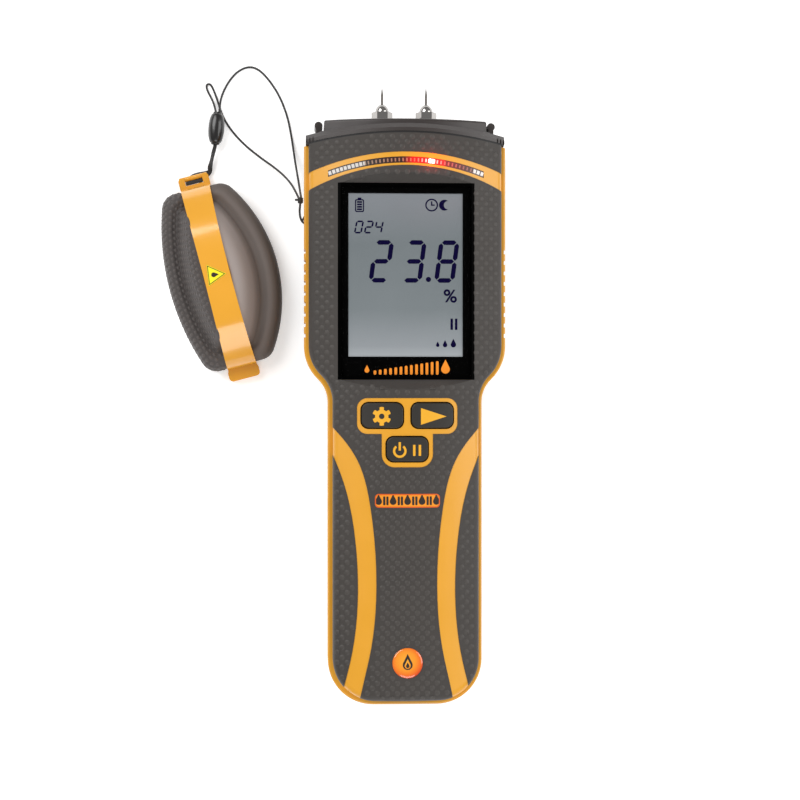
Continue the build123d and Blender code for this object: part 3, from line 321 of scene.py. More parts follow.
def mesh_piece(name, points, faces, material, body, slot, sharp=35.0):
    """A piece from its points, in millimetres, and its faces."""
    mesh = bpy.data.meshes.new(name)
    mesh.from_pydata([Vector(p) * MM for p in points], [], faces)
    piece = bpy.data.objects.new(name, mesh)
    bpy.context.scene.collection.objects.link(piece)
    outward = bmesh.new()
    outward.from_mesh(mesh)
    bmesh.ops.recalc_face_normals(outward, faces=outward.faces[:])
    outward.to_mesh(mesh)
    outward.free()
    return settle(piece, material, body, sharp)


def lathe(profile, count):
    """Points and faces of a closed turned shape, from (radius, height) pairs that run from axis to axis."""
    rings = profile[1:-1]
    points = [(0, 0, profile[0][1])]
    for radius, height in rings:
        for i in range(count):
            a = 2 * math.pi * i / count
            points.append((radius * math.cos(a), radius * math.sin(a), height))
    points.append((0, 0, profile[-1][1]))
    faces = [(0, 1 + (i + 1) % count, 1 + i) for i in range(count)]
    for r in range(len(rings) - 1):
        near, far = 1 + r * count, 1 + (r + 1) * count
        for i in range(count):
            j = (i + 1) % count
            faces.append((near + i, near + j, far + j, far + i))
    last = 1 + (len(rings) - 1) * count
    faces += [(last + i, last + (i + 1) % count, len(points) - 1) for i in range(count)]
    return points, faces


def joined(shapes):
    """Several (points, faces) shapes as one."""
    points, faces = [], []
    for more_points, more_faces in shapes:
        start = len(points)
        points += more_points
        faces += [tuple(start + i for i in face) for face in more_faces]
    return points, faces


def placed(shape, origin, normal, across=(1, 0, 0)):
    """A shape moved so that its Z follows a normal and its X the given direction."""
    z = Vector(normal).normalized()
    x = (Vector(across) - z * z.dot(Vector(across))).normalized()
    y = z.cross(x)
    origin = Vector(origin)
    return [origin + x * p[0] + y * p[1] + z * p[2] for p in shape[0]], shape[1]


# ---------------------------------------------------------------- lanyard
CORD_D = 0.7
CORD_Z = 0.36
BEAD_AT, BEAD_TURN, BEAD_HALF = Vector((-60.2, 91.9, 2.6)), -4.3, 5.3
bead_along = Vector((-math.sin(math.radians(BEAD_TURN)), math.cos(math.radians(BEAD_TURN)), 0))
bead_across = Vector((bead_along.y, -bead_along.x, 0))
KNOT = Vector((-32.9, 66.9, 18.0))

# from the knot at the meter's side, over the surface, to the bead
LONG_ROUTE = [
    (-32.6, 67.2, 18.0), (-33.0, 70.2, 13.6), (-33.6, 74.4, 8.6), (-34.4, 79.6, 3.4), (-35.2, 85.0, 0.9),
    (-36.0, 90.6, CORD_Z), (-37.3, 96.8, CORD_Z), (-39.8, 103.1, CORD_Z), (-43.0, 108.0, CORD_Z),
    (-46.4, 111.6, CORD_Z), (-49.6, 112.6, CORD_Z), (-53.2, 111.1, CORD_Z), (-56.2, 107.8, CORD_Z),
    (-58.5, 103.3, CORD_Z), (-59.1, 99.8, 1.6), tuple(BEAD_AT + bead_across * 0.55 + bead_along * BEAD_HALF),
]
SHORT_ROUTE = [
    (-33.3, 67.3, 17.8), (-34.9, 71.6, 12.2), (-37.6, 75.6, 6.8), (-41.2, 79.2, 2.8), (-45.8, 82.6, 0.8),
    (-50.6, 86.4, CORD_Z), (-54.5, 90.4, CORD_Z), (-57.3, 94.3, CORD_Z), (-58.9, 97.8, CORD_Z),
    (-59.9, 101.2, CORD_Z), (-61.1, 104.5, CORD_Z), (-62.2, 106.8, CORD_Z), (-63.6, 106.5, CORD_Z),
    (-63.3, 104.6, CORD_Z), (-62.1, 102.4, CORD_Z), (-60.9, 99.7, 1.4),
    tuple(BEAD_AT - bead_across * 0.55 + bead_along * BEAD_HALF),
]


def tube(name, routes, diameter, closed=False):
    """One curve object of round tubes, each a NURBS spline through its control points."""
    curve = bpy.data.curves.new(name, "CURVE")
    curve.dimensions = "3D"
    curve.resolution_u = 8
    curve.bevel_depth = diameter / 2 * MM
    curve.bevel_resolution = 3
    curve.use_fill_caps = True
    for route in routes:
        spline = curve.splines.new("NURBS")
        spline.points.add(len(route) - 1)
        for point, place in zip(spline.points, route):
            point.co = (*[c * MM for c in place], 1.0)
        spline.order_u = 3
        spline.use_endpoint_u = not closed
        spline.use_cyclic_u = closed
    piece = bpy.data.objects.new(name, curve)
    bpy.context.scene.collection.objects.link(piece)
    return piece


def hitch_routes():
    """The doubled cord from the knot to the side bar, looped round the bar, and the knot's turns and stub."""
    bar = Vector((-30.5, 61.2, 18.0))
    strands = []
    for side in (-1, 1):
        strands.append([
            KNOT + Vector((0, 0.3, 0.25 * side)), KNOT + Vector((-0.1, -1.6, 0.4 * side)),
            (-33.2, 63.6, 18.0 + 0.42 * side), (-33.0, 61.6, 18.0 + 0.4 * side),
            (-32.4, 60.2, 18.0 + 0.4 * side), (-31.2, 59.4, 18.0 + 0.4 * side),
            bar + Vector((0.9, -1.3, 0.4 * side)), bar + Vector((1.3, 0.2, 0.4 * side)),
            bar + Vector((0.3, 1.35, 0.4 * side)), bar + Vector((-1.3, 0.6, 0.4 * side)),
            bar + Vector((-1.6, -0.6, 0.4 * side)),
        ])
    turns = []
    for lean in (-0.45, 0.05, 0.5):
        turns.append([KNOT + Vector((0.62 * math.cos(a), lean + 0.25 * math.sin(a), 0.62 * math.sin(a)))
                      for a in [2 * math.pi * i / 8 for i in range(8)]])
    stub = [KNOT + Vector((-0.2, 0.1, 0.2)), KNOT + Vector((-0.9, 0.3, 0.3)), KNOT + Vector((-1.7, 0.1, 0.2))]
    return strands + [stub], turns


def ribbon_strip(path, thickness):
    """Points and faces of a flat ribbon along (place, width, flat direction) stations."""
    points, faces = [], []
    steps = 6
    stations = []
    for i in range(len(path) - 1):
        before, start, end = path[max(i - 1, 0)], path[i], path[i + 1]
        after = path[min(i + 2, len(path) - 1)]
        for k in range(steps + (i == len(path) - 2)):
            t = k / steps
            rows = []
            for b, s, e, a in zip(before, start, end, after):
                b, s, e, a = (Vector(q) if hasattr(q, "__len__") else q for q in (b, s, e, a))
                rows.append(0.5 * (2 * s + (e - b) * t + (2 * b - 5 * s + 4 * e - a) * t * t
                                   + (3 * s - b - 3 * e + a) * t ** 3))
            stations.append(rows)
    for i, (place, width, flat) in enumerate(stations):
        along = (stations[min(i + 1, len(stations) - 1)][0] - stations[max(i - 1, 0)][0]).normalized()
        flat = (flat - along * along.dot(flat)).normalized()
        lift = along.cross(flat)
        for x, z in ((-0.5, -0.5), (0.5, -0.5), (0.5, 0.5), (-0.5, 0.5)):
            points.append(place + flat * (x * width) + lift * (z * thickness))
    for i in range(len(stations) - 1):
        for k in range(4):
            m = (k + 1) % 4
            faces.append((4 * i + k, 4 * i + m, 4 * i + 4 + m, 4 * i + 4 + k))
    last = 4 * (len(stations) - 1)
    faces += [(0, 1, 2, 3), (last + 3, last + 2, last + 1, last)]
    return points, faces


# the cap's own axes: u along the strap away from the lanyard, v to its right
CAP_AT = Vector((-59.3, 43.5, 0))
cap_turn = math.radians(-75.4)
cap_u = Vector((math.cos(cap_turn), math.sin(cap_turn), 0))
cap_v = Vector((-cap_u.y, cap_u.x, 0))
EYE_U, EYE_Z = -33.5, 2.0


def on_cap(u, v, z):
    """A place on the cap, in the shared frame."""
    return CAP_AT + cap_u * u + cap_v * v + UP * z


def bead_shape():
    """The bead: an olive with a collar and a countersunk hole at each end."""
    half = [(0.8, 4.6), (0.9, 5.0), (1.05, 5.3), (1.25, 5.26), (1.4, 5.0), (1.42, 4.75)]
    for i in range(9):
        height = 4.5 * (1 - i / 8)
        half.append((0.9 + 1.7 * math.sqrt(max(0.0, 1 - (height / 5.3) ** 2)), height))
    return lathe([(0, 4.6)] + half + [(r, -h) for r, h in reversed(half[:-1])] + [(0, -4.6)], 40)


bead = mesh_piece("bead_olive", *placed(bead_shape(), BEAD_AT, bead_along, bead_across), bead_black, "root",
                  "bead_plastic")
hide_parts("lanyard_bead")

bead_foot = BEAD_AT - bead_along * BEAD_HALF
corner = on_cap(-34.0, 5.3, 0.8)
ribbon_path = [
    (on_cap(EYE_U + 2.1, 0.0, EYE_Z + 0.5), 5.5, cap_v), (on_cap(EYE_U + 1.2, 0.0, EYE_Z + 0.45), 5.5, cap_v),
    (on_cap(EYE_U + 1.05, 0.2, EYE_Z - 0.6), 5.3, cap_v), (on_cap(EYE_U + 0.4, 1.2, EYE_Z - 1.0), 4.0, cap_v),
    (corner, 1.7, cap_u * 0.5 + cap_v), (corner.lerp(bead_foot, 0.22) + UP * 0.1, 1.5, cap_v + UP * 0.4),
    (corner.lerp(bead_foot, 0.45), 1.4, cap_v + UP * 1.2),
    (corner.lerp(bead_foot, 0.7), 1.25, cap_v + UP * 0.7),
    (bead_foot - bead_along * 0.4, 1.15, cap_v), (bead_foot + bead_along * 0.9, 1.15, cap_v),
]
ribbon = mesh_piece("tether_ribbon_strip", *ribbon_strip(ribbon_path, 0.42), ribbon_black, "root", "ribbon")
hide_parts("tether_ribbon")

strands, turns = hitch_routes()
hitch = tube("hitch_strands", strands, 0.68)
settle(hitch, cord_black, "root")
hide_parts("lanyard_hitch")
knot = tube("hitch_knot", turns, 0.62, closed=True)
settle(knot, cord_black, "root")

cord_long = tube("lanyard_cord_long", [LONG_ROUTE], CORD_D)
settle(cord_long, cord_black, "root")
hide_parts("cord_long")
cord_short = tube("lanyard_cord_short", [SHORT_ROUTE], CORD_D)
settle(cord_short, cord_black, "root")
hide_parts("cord_short")


# ---------------------------------------------------------------- pin cap: soft skins over the core
CAP_END, CAP_CORNER = 29.3, 5.2
CAP_SIDES = {1: (48.5, 19.5, 1.21), -1: (80.0, 16.2, 0.945)}     # radius, bulge, share of the insets
SKIN_PROFILE = [              # distance in from the rim, height
    (0.5, 0.02), (0.16, 0.35), (0.03, 1.2), (0.0, 2.6), (0.0, 4.4), (0.08, 5.8), (0.35, 7.1), (0.85, 8.2),
    (1.6, 9.0), (2.5, 9.4), (3.4, 9.45), (4.2, 9.2), (4.9, 8.95), (5.5, 9.1), (6.1, 9.85), (6.7, 11.0),
    (7.4, 12.5), (8.2, 14.2), (9.1, 15.9), (10.1, 17.1), (11.3, 17.9), (12.55, 18.3),
]


def strap_edge(u):
    """Where the skins stop, just inside the strap's sides."""
    return 4.05 + 0.6 * (u / 30.5) ** 2


def cap_row(inset, sign):
    """One skin's outline at an inset, beyond the strap's edge, as dense (u, v) points with v positive."""
    radius, bulge, share = CAP_SIDES[sign]
    end, side, shift = CAP_END - inset, radius - inset * share, radius - bulge
    rounding = max(CAP_CORNER - inset * 0.6, 1.6)
    corner_u = end - rounding
    corner_v = math.sqrt((side - rounding) ** 2 - corner_u ** 2) - shift
    meet = math.atan2(corner_v + shift, -corner_u)
    row = [(-end, min(0.0, corner_v - 1)), (-end, corner_v)]
    for i in range(1, 25):
        a = math.pi + (meet - math.pi) * i / 24
        row.append((-corner_u + rounding * math.cos(a), corner_v + rounding * math.sin(a)))
    for i in range(1, 100):
        a = meet + (math.pi - 2 * meet) * i / 100
        row.append((side * math.cos(a), side * math.sin(a) - shift))
    row += [(-u, v) for u, v in reversed(row[:26])]
    kept = []
    for (u0, v0), (u1, v1) in zip(row, row[1:]):
        out, next_out = v0 - strap_edge(u0), v1 - strap_edge(u1)
        if out >= 0:
            kept.append((u0, v0))
        if (out >= 0) != (next_out >= 0):
            t = out / (out - next_out)
            kept.append((u0 + t * (u1 - u0), v0 + t * (v1 - v0)))
    return kept


def spaced(row, count=None, pitch=None, start=0.0):
    """Evenly spaced (u, v, direction) along a row, by number or by pitch."""
    steps = [math.dist(a, b) for a, b in zip(row, row[1:])]
    total = sum(steps)
    if count:
        wanted = [total * i / (count - 1) for i in range(count)]
    else:
        wanted = [start + pitch * i for i in range(int((total - start) / pitch) + 1)]
    found, at, done = [], 0, 0.0
    for want in wanted:
        while at < len(steps) - 1 and done + steps[at] < want:
            done += steps[at]
            at += 1
        (u0, v0), (u1, v1) = row[at], row[at + 1]
        t = min(max((want - done) / steps[at], 0.0), 1.0) if steps[at] else 0.0
        heading = Vector((u1 - u0, v1 - v0)).normalized()
        found.append((u0 + t * (u1 - u0), v0 + t * (v1 - v0), heading))
    return found


def smooth_profile(profile, parts):
    """A profile with points added between its own along a smooth line."""
    finer = []
    for i in range(len(profile) - 1):
        before, start = Vector(profile[max(i - 1, 0)]), Vector(profile[i])
        end, after = Vector(profile[i + 1]), Vector(profile[min(i + 2, len(profile) - 1)])
        for k in range(parts):
            t = k / parts
            spot = 0.5 * (2 * start + (end - before) * t + (2 * before - 5 * start + 4 * end - after) * t * t
                          + (3 * start - before - 3 * end + after) * t ** 3)
            finer.append((max(spot.x, 0.0), spot.y))
    return finer + [profile[-1]]


def cap_skin(name, sign, node, material):
    """One half of the cap's soft skin, closed by a thickness inwards."""
    count = 140
    points, faces = [], []
    for inset, height in smooth_profile(SKIN_PROFILE, 3):
        points += [on_cap(u, sign * v, height) for u, v, _ in spaced(cap_row(inset, sign), count)]
    rows = len(points) // count
    for r in range(rows - 1):
        for i in range(count - 1):
            a = r * count + i
            face = (a, a + 1, a + 1 + count, a + count)
            faces.append(face if sign > 0 else face[::-1])
    mesh = bpy.data.meshes.new(name)
    mesh.from_pydata([Vector(p) * MM for p in points], [], faces)
    piece = bpy.data.objects.new(name, mesh)
    bpy.context.scene.collection.objects.link(piece)
    if mesh.polygons[len(mesh.polygons) // 2].normal.z < 0:
        mesh.flip_normals()
    wall = piece.modifiers.new("wall", "SOLIDIFY")
    wall.thickness = 0.9 * MM
    wall.offset = -1.0
    settle(piece, material, "pin_cap", 60.0)
    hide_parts(node)


CAP_DIMPLE, GRIP_DIMPLE = (0.66, 0.26), (0.86, 0.17)             # radius, height


def dot_shape(radius, height, count=10):
    """A low round bump, sunk a little into what carries it."""
    return lathe([(0, -0.12), (radius * 0.9, -0.12), (radius, 0.0), (radius * 0.86, height * 0.42),
                  (radius * 0.55, height * 0.84), (0, height)], count)


def cap_dots():
    """Bumps in rows that follow the rim of the cap's textured half."""
    line = smooth_profile(SKIN_PROFILE, 6)
    shapes, travelled, due, odd = [], 0.0, 1.5, 0
    row_pitch, pitch = 1.62, 1.9
    bump = dot_shape(*CAP_DIMPLE, 8)
    for (d0, z0), (d1, z1) in zip(line, line[1:]):
        travelled += math.hypot(d1 - d0, z1 - z0)
        if travelled < due or d1 > 11.8:
            continue
        due += row_pitch
        odd = 1 - odd
        inward, rise = Vector((d1 - d0, z1 - z0)).normalized()
        for u, v, heading in spaced(cap_row(d1, -1), pitch=pitch, start=1.2 + odd * pitch / 2):
            if v < strap_edge(u) + 1.0:
                continue
            into = Vector((heading.y, -heading.x))
            normal = (cap_u * -into.x + cap_v * into.y) * rise + UP * inward
            shapes.append(placed(bump, on_cap(u, -v, z1), normal, cap_u))
    return joined(shapes)


cap_skin("cap_skin_textured", -1, "cap_grip_textured", cap_rubber_dark)
cap_skin("cap_skin_smooth", 1, "cap_grip_smooth", cap_rubber)
mesh_piece("cap_skin_dimples", *cap_dots(), cap_dimple, "pin_cap", "cap_rubber", 60.0)


# ---------------------------------------------------------------- dimples of the grips
def surface_tree(node):
    """A ray-casting tree of a CAD node's mesh."""
    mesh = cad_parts[node].data
    return BVHTree.FromPolygons([v.co for v in mesh.vertices], [p.vertices for p in mesh.polygons])


def grip_dots(node, from_above, lowest):
    """Bumps on a staggered grid above a height, wherever a whole one fits on the skin."""
    radius, height = GRIP_DIMPLE
    tree = surface_tree(node)
    low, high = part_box(node)
    start_z = (high.z if from_above else low.z) / MM + (5 if from_above else -5)
    ray = Vector((0, 0, -1 if from_above else 1))
    bump = dot_shape(radius, height)
    pitch, row_pitch = 3.1, 1.55
    shapes, row = [], 0
    y = low.y / MM + 1.2
    while y < high.y / MM:
        x = low.x / MM + 1.0 + (pitch / 2 if row % 2 else 0)
        while x < high.x / MM:
            spots = [(x, y)] + [(x + radius * 1.05 * math.cos(a), y + radius * 1.05 * math.sin(a))
                                for a in [math.pi * i / 4 for i in range(8)]]
            hits = [tree.ray_cast(Vector((px, py, start_z)) * MM, ray) for px, py in spots]
            if all(h[0] is not None for h in hits) and hits[0][0].z / MM > lowest:
                place, normal = hits[0][0] / MM, hits[0][1]
                heights = [h[0].z / MM for h in hits]
                if abs(normal.z) > 0.55 and max(heights) - min(heights) < 1.5 * radius:
                    shapes.append(placed(bump, place, -normal if normal.dot(ray) > 0 else normal))
            x += pitch
        y += row_pitch
        row += 1
    return joined(shapes)


mesh_piece("front_grip_dimples", *grip_dots("front_grip", True, 24.5), grip_dimple, "root", "grip_rubber", 60.0)
mesh_piece("rear_grip_dimples", *grip_dots("rear_grip", False, 0.5), grip_dimple, "root", "grip_rubber", 60.0)


# ---------------------------------------------------------------- flat marks cut from outlines
def circle(x, y, radius, count=32):
    return [(x + radius * math.cos(2 * math.pi * i / count), y + radius * math.sin(2 * math.pi * i / count))
            for i in range(count)]


def bar(x0, y0, x1, y1):
    return [(x0, y0), (x1, y0), (x1, y1), (x0, y1)]


def rounded_bar(x0, y0, x1, y1, radius):
    """A rectangle with rounded corners."""
    corners = [(x1 - radius, y0 + radius, -90), (x1 - radius, y1 - radius, 0), (x0 + radius, y1 - radius, 90),
               (x0 + radius, y0 + radius, 180)]
    return [(x + radius * math.cos(math.radians(a + 18 * i)), y + radius * math.sin(math.radians(a + 18 * i)))
            for x, y, a in corners for i in range(6)]


def droplet(x, y, size):
    """A drop with its point up, of a given height."""
    r = size * 0.31
    points = [(x, y + size * 0.62)]
    for i in range(19):
        a = math.radians(28 - i * (236 / 18))
        points.append((x + r * math.cos(a), y + r * math.sin(a) - size * 0.07))
    return points


def slanted(points, foot, slant):
    """Points leaned over to the right, about a height."""
    return [(x + (y - foot) * slant, y) for x, y in points]


SEGMENTS = {"a": (0, 1, 1, 1), "b": (1, 1, 1, 0.5), "c": (1, 0.5, 1, 0), "d": (0, 0, 1, 0),
            "e": (0, 0.5, 0, 0), "f": (0, 1, 0, 0.5), "g": (0, 0.5, 1, 0.5)}
DIGITS = {"0": "abcdef", "2": "abged", "3": "abgcd", "4": "fgbc", "8": "abcdefg"}


def digit(figure, x, y, width, height, stroke, slant):
    """The lit bars of one seven-bar figure, standing at (x, y)."""
    loops = []
    gap = stroke * 0.16
    for name in DIGITS[figure]:
        x0, y0, x1, y1 = SEGMENTS[name]
        start = Vector((x + x0 * width, y + y0 * height))
        end = Vector((x + x1 * width, y + y1 * height))
        along = (end - start).normalized()
        side = Vector((-along.y, along.x)) * stroke / 2
        start, end = start + along * gap, end - along * gap
        cut = along * stroke / 2
        loop = [start, start + cut + side, end - cut + side, end, end - cut - side, start + cut - side]
        loops.append(slanted([tuple(p) for p in loop], y, slant))
    return loops


def stencil(name, loops, thickness, lift, height_at, material, body, cell=1.0):
    """A thin plate cut to outlines, laid on a surface given by its height at each place."""
    curve = bpy.data.curves.new(name, "CURVE")
    curve.dimensions = "2D"
    curve.fill_mode = "BOTH"
    curve.extrude = thickness / 2
    for loop in loops:
        spline = curve.splines.new("POLY")
        spline.points.add(len(loop) - 1)
        for point, place in zip(spline.points, loop):
            point.co = (*place, 0.0, 1.0)
        spline.use_cyclic_u = True
    flat = bpy.data.objects.new(name + "_outline", curve)
    mesh = bpy.data.meshes.new_from_object(flat)
    bpy.data.objects.remove(flat)
    mesh.name = name
    work = bmesh.new()
    work.from_mesh(mesh)
    bmesh.ops.remove_doubles(work, verts=work.verts[:], dist=1e-4)
    bmesh.ops.triangulate(work, faces=work.faces[:])
    for _ in range(4):
        long_edges = [e for e in work.edges if e.calc_length() > cell]
        if not long_edges:
            break
        bmesh.ops.subdivide_edges(work, edges=long_edges, cuts=1)
        bmesh.ops.triangulate(work, faces=work.faces[:])
    for vertex in work.verts:
        x, y, z = vertex.co
        vertex.co = Vector((x, y, height_at(x, y) + lift + thickness / 2 + z)) * MM
    bmesh.ops.recalc_face_normals(work, faces=work.faces[:])
    work.to_mesh(mesh)
    work.free()
    piece = bpy.data.objects.new(name, mesh)
    bpy.context.scene.collection.objects.link(piece)
    mesh.materials.clear()
    return settle(piece, material, body)


def dome(proud):
    """Height of the front's dome, moved out by some millimetres."""
    return lambda x, y: THICKNESS - FRONT_R + math.sqrt((FRONT_R + proud) ** 2 - x * x)


def level(z):
    return lambda x, y: z


# ---------------------------------------------------------------- display
LCD_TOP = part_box("lcd_panel")[1].z / MM
WINDOW_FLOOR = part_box("display_window")[0].z / MM
SLANT = math.tan(math.radians(7.5))


def display_loops():
    """What the display shows: charge, clock, moon, small and large figures, percent, hold, drops."""
    loops = []
    left, foot = -15.9, 62.2
    loops += [rounded_bar(left, foot, left + 2.8, foot + 4.0, 0.5),
              rounded_bar(left + 0.34, foot + 0.34, left + 2.46, foot + 3.66, 0.3),
              rounded_bar(left + 0.8, foot + 4.0, left + 2.0, foot + 4.5, 0.2)]
    loops += [bar(left + 0.62, foot + 0.6 + 0.76 * i, left + 2.18, foot + 1.12 + 0.76 * i) for i in range(4)]
    clock_x, clock_y = 8.0, 64.5
    loops += [circle(clock_x, clock_y, 2.0), circle(clock_x, clock_y, 1.58),
              bar(clock_x - 0.2, clock_y - 0.2, clock_x + 0.2, clock_y + 1.15),
              bar(clock_x + 0.2, clock_y - 0.2, clock_x + 0.95, clock_y + 0.18)]
    moon_x, moon_y = 12.0, 64.5
    moon = [(moon_x + 1.7 * math.cos(math.radians(a)), moon_y + 1.7 * math.sin(math.radians(a)))
            for a in range(50, 311, 20)]
    moon += [(moon_x + 1.1 + 1.31 * math.cos(math.radians(a)), moon_y + 1.31 * math.sin(math.radians(a)))
             for a in range(263, 96, -18)]
    loops.append(moon)
    for i, figure in enumerate("024"):
        loops += digit(figure, -16.0 + 3.1 * i, 55.8, 1.95, 3.5, 0.5, 0.2)
    for figure, right in (("2", -4.02), ("3", 6.18), ("8", 16.44)):
        loops += digit(figure, right - 6.95, 41.0, 4.95, 11.8, 1.4, SLANT)
    loops.append(circle(7.0, 41.3, 0.8, 20))
    loops += [circle(12.8, 37.2, 1.05, 20), circle(12.8, 37.2, 0.42, 16), circle(14.85, 35.1, 1.05, 20),
              circle(14.85, 35.1, 0.42, 16), [(12.2, 34.2), (12.85, 34.2), (15.4, 38.1), (14.75, 38.1)]]
    loops += [bar(13.9, 25.6, 14.65, 29.1), bar(15.3, 25.6, 16.05, 29.1)]
    loops += [droplet(9.9, 20.9, 1.7), droplet(12.2, 21.0, 2.2), droplet(14.8, 21.15, 2.7)]
    return loops


stencil("display_figures", display_loops(), 0.04, 0.005, level(LCD_TOP), display_ink, "root", 60)


def scale_loops():
    """A printed scale from a small drop to a large one, with rising bars between."""
    loops = [droplet(-12.2, 13.1, 2.4), droplet(12.3, 13.6, 4.4)]
    for i in range(13):
        x = -9.7 + 1.62 * i
        loops.append(rounded_bar(x - 0.42, 11.6, x + 0.42, 12.9 + 0.24 * i, 0.3))
    return loops


stencil("window_scale_print", scale_loops(), 0.03, 0.01, level(WINDOW_FLOOR), window_mark, "root",
        60)


# ---------------------------------------------------------------- marks on the keys
def gear_loops(x, y, outer, inner, hole, teeth):
    """A gear with square-cut teeth and a round hole."""
    rim = []
    for i in range(teeth):
        middle = math.radians(90 + 360 * i / teeth)
        for turn, radius in ((-19, inner), (-13.5, outer), (-5, outer * 1.02), (5, outer * 1.02),
                             (13.5, outer), (19, inner), (30, inner)):
            a = middle + math.radians(turn)
            rim.append((x + radius * math.cos(a), y + radius * math.sin(a)))
    return [rim, circle(x, y, hole, 24)]


def ring_arc(x, y, outer, inner, start, end, count=30):
    """A part of a ring between two angles in degrees."""
    turns = [math.radians(start + (end - start) * i / count) for i in range(count + 1)]
    return ([(x + outer * math.cos(a), y + outer * math.sin(a)) for a in turns]
            + [(x + inner * math.cos(a), y + inner * math.sin(a)) for a in reversed(turns)])


KEY_TOP = dome(0.45)
KEY_LIFT = -0.03
stencil("key_settings_mark", gear_loops(-7.8, -1.35, 2.85, 2.05, 0.85, 6), 0.1, KEY_LIFT, KEY_TOP, key_mark,
        "settings_key")
stencil("key_reference_mark", [[(4.3, 1.2), (4.3, -3.95), (12.3, -1.38)]], 0.1, KEY_LIFT, KEY_TOP, key_mark,
        "reference_key")
power = [ring_arc(-2.25, -12.05, 2.1, 1.4, 128, 412), bar(-2.6, -11.9, -1.9, -9.3),
         bar(1.85, -13.55, 2.6, -10.15), bar(3.6, -13.55, 4.35, -10.15)]
stencil("key_power_mark", power, 0.1, KEY_LIFT, KEY_TOP, key_mark, "power_key")


# ---------------------------------------------------------------- name plate and badge
plate_low, plate_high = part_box("name_plate")
px0, py0, px1, py1 = (c / MM for c in (plate_low.x, plate_low.y, plate_high.x, plate_high.y))
PLATE_TOP = dome(-0.1)
stencil("name_plate_edge", [rounded_bar(px0, py0, px1, py1, 1.15),
                            rounded_bar(px0 + 0.32, py0 + 0.32, px1 - 0.32, py1 - 0.32, 0.85)],
        0.12, -0.04, PLATE_TOP, plate_edge, "root")


def plate_loops():
    """A row of upright drops between short bars."""
    loops = []
    count = 9
    for i in range(count):
        x = px0 + (px1 - px0) * (i + 0.5) / count
        y = (py0 + py1) / 2
        if i % 2 == 0:
            loops.append(droplet(x, y, 3.3))
        else:
            loops += [rounded_bar(x - 0.82, y - 1.35, x - 0.16, y + 1.35, 0.2),
                      rounded_bar(x + 0.16, y - 1.35, x + 0.82, y + 1.35, 0.2)]
    return loops


stencil("name_plate_marks", plate_loops(), 0.08, -0.02, PLATE_TOP, dark_mark, "root")

BADGE_AT, BADGE_R, BADGE_EDGE_Z, BADGE_RISE = Vector((0.2, -77.6, 0)), 4.7, 33.92, 0.55


def badge_height(x, y):
    """Height of the badge's lens."""
    share = min(math.hypot(x - BADGE_AT.x, y - BADGE_AT.y) / BADGE_R, 1.0)
    return BADGE_EDGE_Z + BADGE_RISE * math.sqrt(max(0.0, 1 - share ** 2.6))


def badge_material():
    """Glossy orange that turns redder towards the rim."""
    material = surface("badge_lens", srgb(244, 140, 20), 0.12, (2500, 0.002), Coat_Weight=0.8,
                       Coat_Roughness=0.04)
    nodes, links = material.node_tree.nodes, material.node_tree.links
    where = nodes.new("ShaderNodeTexCoord")
    away = nodes.new("ShaderNodeVectorMath")
    away.operation = "DISTANCE"
    away.inputs[1].default_value = Vector((BADGE_AT.x - 0.5, BADGE_AT.y + 0.6, BADGE_EDGE_Z)) * MM
    links.new(where.outputs["Object"], away.inputs[0])
    share = nodes.new("ShaderNodeMapRange")
    share.inputs["From Max"].default_value = 5.4 * MM
    links.new(away.outputs["Value"], share.inputs["Value"])
    colour = ramp(nodes, links, share.outputs["Result"],
                  [(0.0, srgb(236, 166, 44)), (0.55, srgb(234, 140, 26)), (0.82, srgb(228, 104, 12)),
                   (1.0, srgb(206, 62, 8))])
    links.new(colour.outputs["Color"], nodes["Principled BSDF"].inputs["Base Color"])
    return material


def badge_shape():
    """The badge's lens with a straight side below its rim."""
    profile = [(0, 33.0), (BADGE_R, 33.0), (BADGE_R, BADGE_EDGE_Z)]
    for i in range(1, 12):
        radius = BADGE_R * math.cos(math.pi / 2 * i / 12) ** 0.8
        profile.append((radius, badge_height(BADGE_AT.x + radius, BADGE_AT.y)))
    return lathe(profile + [(0, BADGE_EDGE_Z + BADGE_RISE)], 64)


badge = mesh_piece("badge_lens", *placed(badge_shape(), BADGE_AT, UP), badge_material(), "root",
                   "badge_plastic", 30)
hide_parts("badge")
stencil("badge_mark", [droplet(0.2, -77.75, 4.9), droplet(0.2, -78.1, 3.1), droplet(0.2, -78.35, 1.7)], 0.08,
        -0.02, badge_height, dark_mark, "root", 0.8)

# ---------------------------------------------------------------- light bar
SLOT_R, SLOT_TOP, SLOT_WIDTH, SLOT_HALF = 76.9, 79.0, 1.95, 24.3
CELL_COUNT, LIT_CELL_X = 41, 7.7
WIDE_CELL, SMALL_CELL = (0.96, 1.2), (0.46, 1.05)                # length, width


def bar_place(x, inset):
    """A place on the middle line of the light bar."""
    y = SLOT_TOP - SLOT_R + math.sqrt((SLOT_R - SLOT_WIDTH / 2) ** 2 - x * x)
    return Vector((x, y, dome(-inset)(x, y)))


def cell_shape(length, width, height):
    """A small window of the light bar with a bevelled top."""
    points = []
    for grow, z in ((0.0, -0.08), (0.0, height * 0.6), (-0.06, height)):
        x, y = length / 2 + grow, width / 2 + grow
        points += [(-x, -y, z), (x, -y, z), (x, y, z), (-x, y, z)]
    faces = [(0, 3, 2, 1), (8, 9, 10, 11)]
    for r in (0, 4):
        faces += [(r + k, r + (k + 1) % 4, r + 4 + (k + 1) % 4, r + 4 + k) for k in range(4)]
    return points, faces


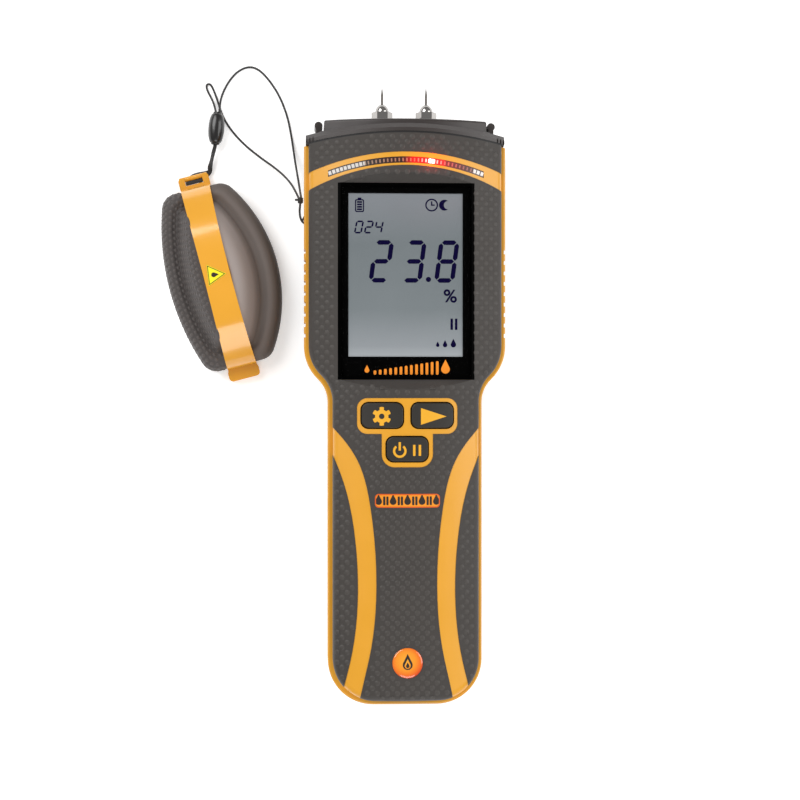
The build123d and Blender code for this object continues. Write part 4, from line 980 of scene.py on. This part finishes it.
def bar_cells():
    """The light bar's row of cells: wide clear ones at the two ends, and a lit one among small ones."""
    shapes = []
    for i in range(CELL_COUNT):
        x = SLOT_HALF * 0.975 * (2 * i / (CELL_COUNT - 1) - 1)
        clear = x < -13.0 or x > 21.0
        lit = abs(x - LIT_CELL_X) < 0.6
        length, width = WIDE_CELL if clear or lit else SMALL_CELL
        outward = Vector((x, 0, FRONT_R)).normalized()
        across = Vector((math.sqrt(SLOT_R ** 2 - x * x), -x, 0))
        shapes.append(placed(cell_shape(length, width, 0.12), bar_place(x, 0.35), outward, across))
    return joined(shapes)


mesh_piece("light_bar_cells", *bar_cells(), bar_cell, "root", "light_bar")

# ---------------------------------------------------------------- label on the strap
label_tree = surface_tree("cap_label")


def label_height(x, y):
    """Height of the label's top."""
    hit = label_tree.ray_cast(Vector((x * MM, y * MM, 0.05)), -UP)[0]
    return hit.z / MM if hit else 19.35


LABEL_AT, LABEL_TURN = on_cap(0.1, -0.9, 0), math.radians(82)


def label_triangle(size):
    """The label's outline, shrunk about its middle."""
    tips = [LABEL_AT + (cap_u * math.cos(a) + cap_v * math.sin(a)) * size
            for a in [LABEL_TURN + math.radians(120 * i) for i in range(3)]]
    return [(tip.x, tip.y) for tip in tips]


def label_drop():
    """A drop that stands square to the label's left side."""
    turn = cap_turn + LABEL_TURN - math.radians(90)
    return [(LABEL_AT.x + px * math.cos(turn) - py * math.sin(turn),
             LABEL_AT.y + px * math.sin(turn) + py * math.cos(turn)) for px, py in droplet(0, 0.1, 2.4)]


stencil("cap_label_marks", [label_triangle(3.6), label_triangle(3.2), label_drop()], 0.04, 0.0, label_height,
        dark_mark, "pin_cap", 0.8)

# ---------------------------------------------------------------- floor and light
floor_mesh = bpy.data.meshes.new("floor")
floor_mesh.from_pydata([(-3, -3, 0), (3, -3, 0), (3, 3, 0), (-3, 3, 0)], [], [(0, 1, 2, 3)])
floor = bpy.data.objects.new("floor", floor_mesh)
bpy.context.scene.collection.objects.link(floor)
floor.location.z = -0.02 * MM
floor_mesh.materials.append(surface("floor_white", srgb(250, 250, 250), 0.9, (40, 0.0), tint=0.004,
                                    Emission_Color=(1, 1, 1, 1), Emission_Strength=0.34))


def softbox(name, place, power, size, colour=(1, 1, 1)):
    """A large soft light aimed at the middle of the scene."""
    light = bpy.data.lights.new(name, "AREA")
    light.energy = power
    light.size = size
    light.color = colour
    lamp = bpy.data.objects.new(name, light)
    bpy.context.scene.collection.objects.link(lamp)
    aim(lamp, place, (-0.02, 0.01, 0.0), (0.01, 0.02, 1))


softbox("key_light", (-0.75, 0.65, 0.95), 13.0, 0.9)
softbox("right_light", (1.0, 0.15, 0.8), 9.0, 0.9)
softbox("low_light", (0.05, -1.05, 0.8), 7.0, 0.8)

glow = bpy.data.lights.new("cell_glow", "POINT")
glow.energy = 0.0012
glow.color = (1.0, 0.06, 0.05)
glow.shadow_soft_size = 0.0006
glow_lamp = bpy.data.objects.new("cell_glow", glow)
bpy.context.scene.collection.objects.link(glow_lamp)
glow_lamp.location = (bar_place(LIT_CELL_X, 0) + UP * 2.2) * MM

world = bpy.data.worlds.new("studio")
world.use_nodes = True
world.node_tree.nodes["Background"].inputs["Color"].default_value = (1.0, 1.0, 1.0, 1.0)
world.node_tree.nodes["Background"].inputs["Strength"].default_value = 0.35
bpy.context.scene.world = world
bpy.context.scene.view_settings.view_transform = "Standard"
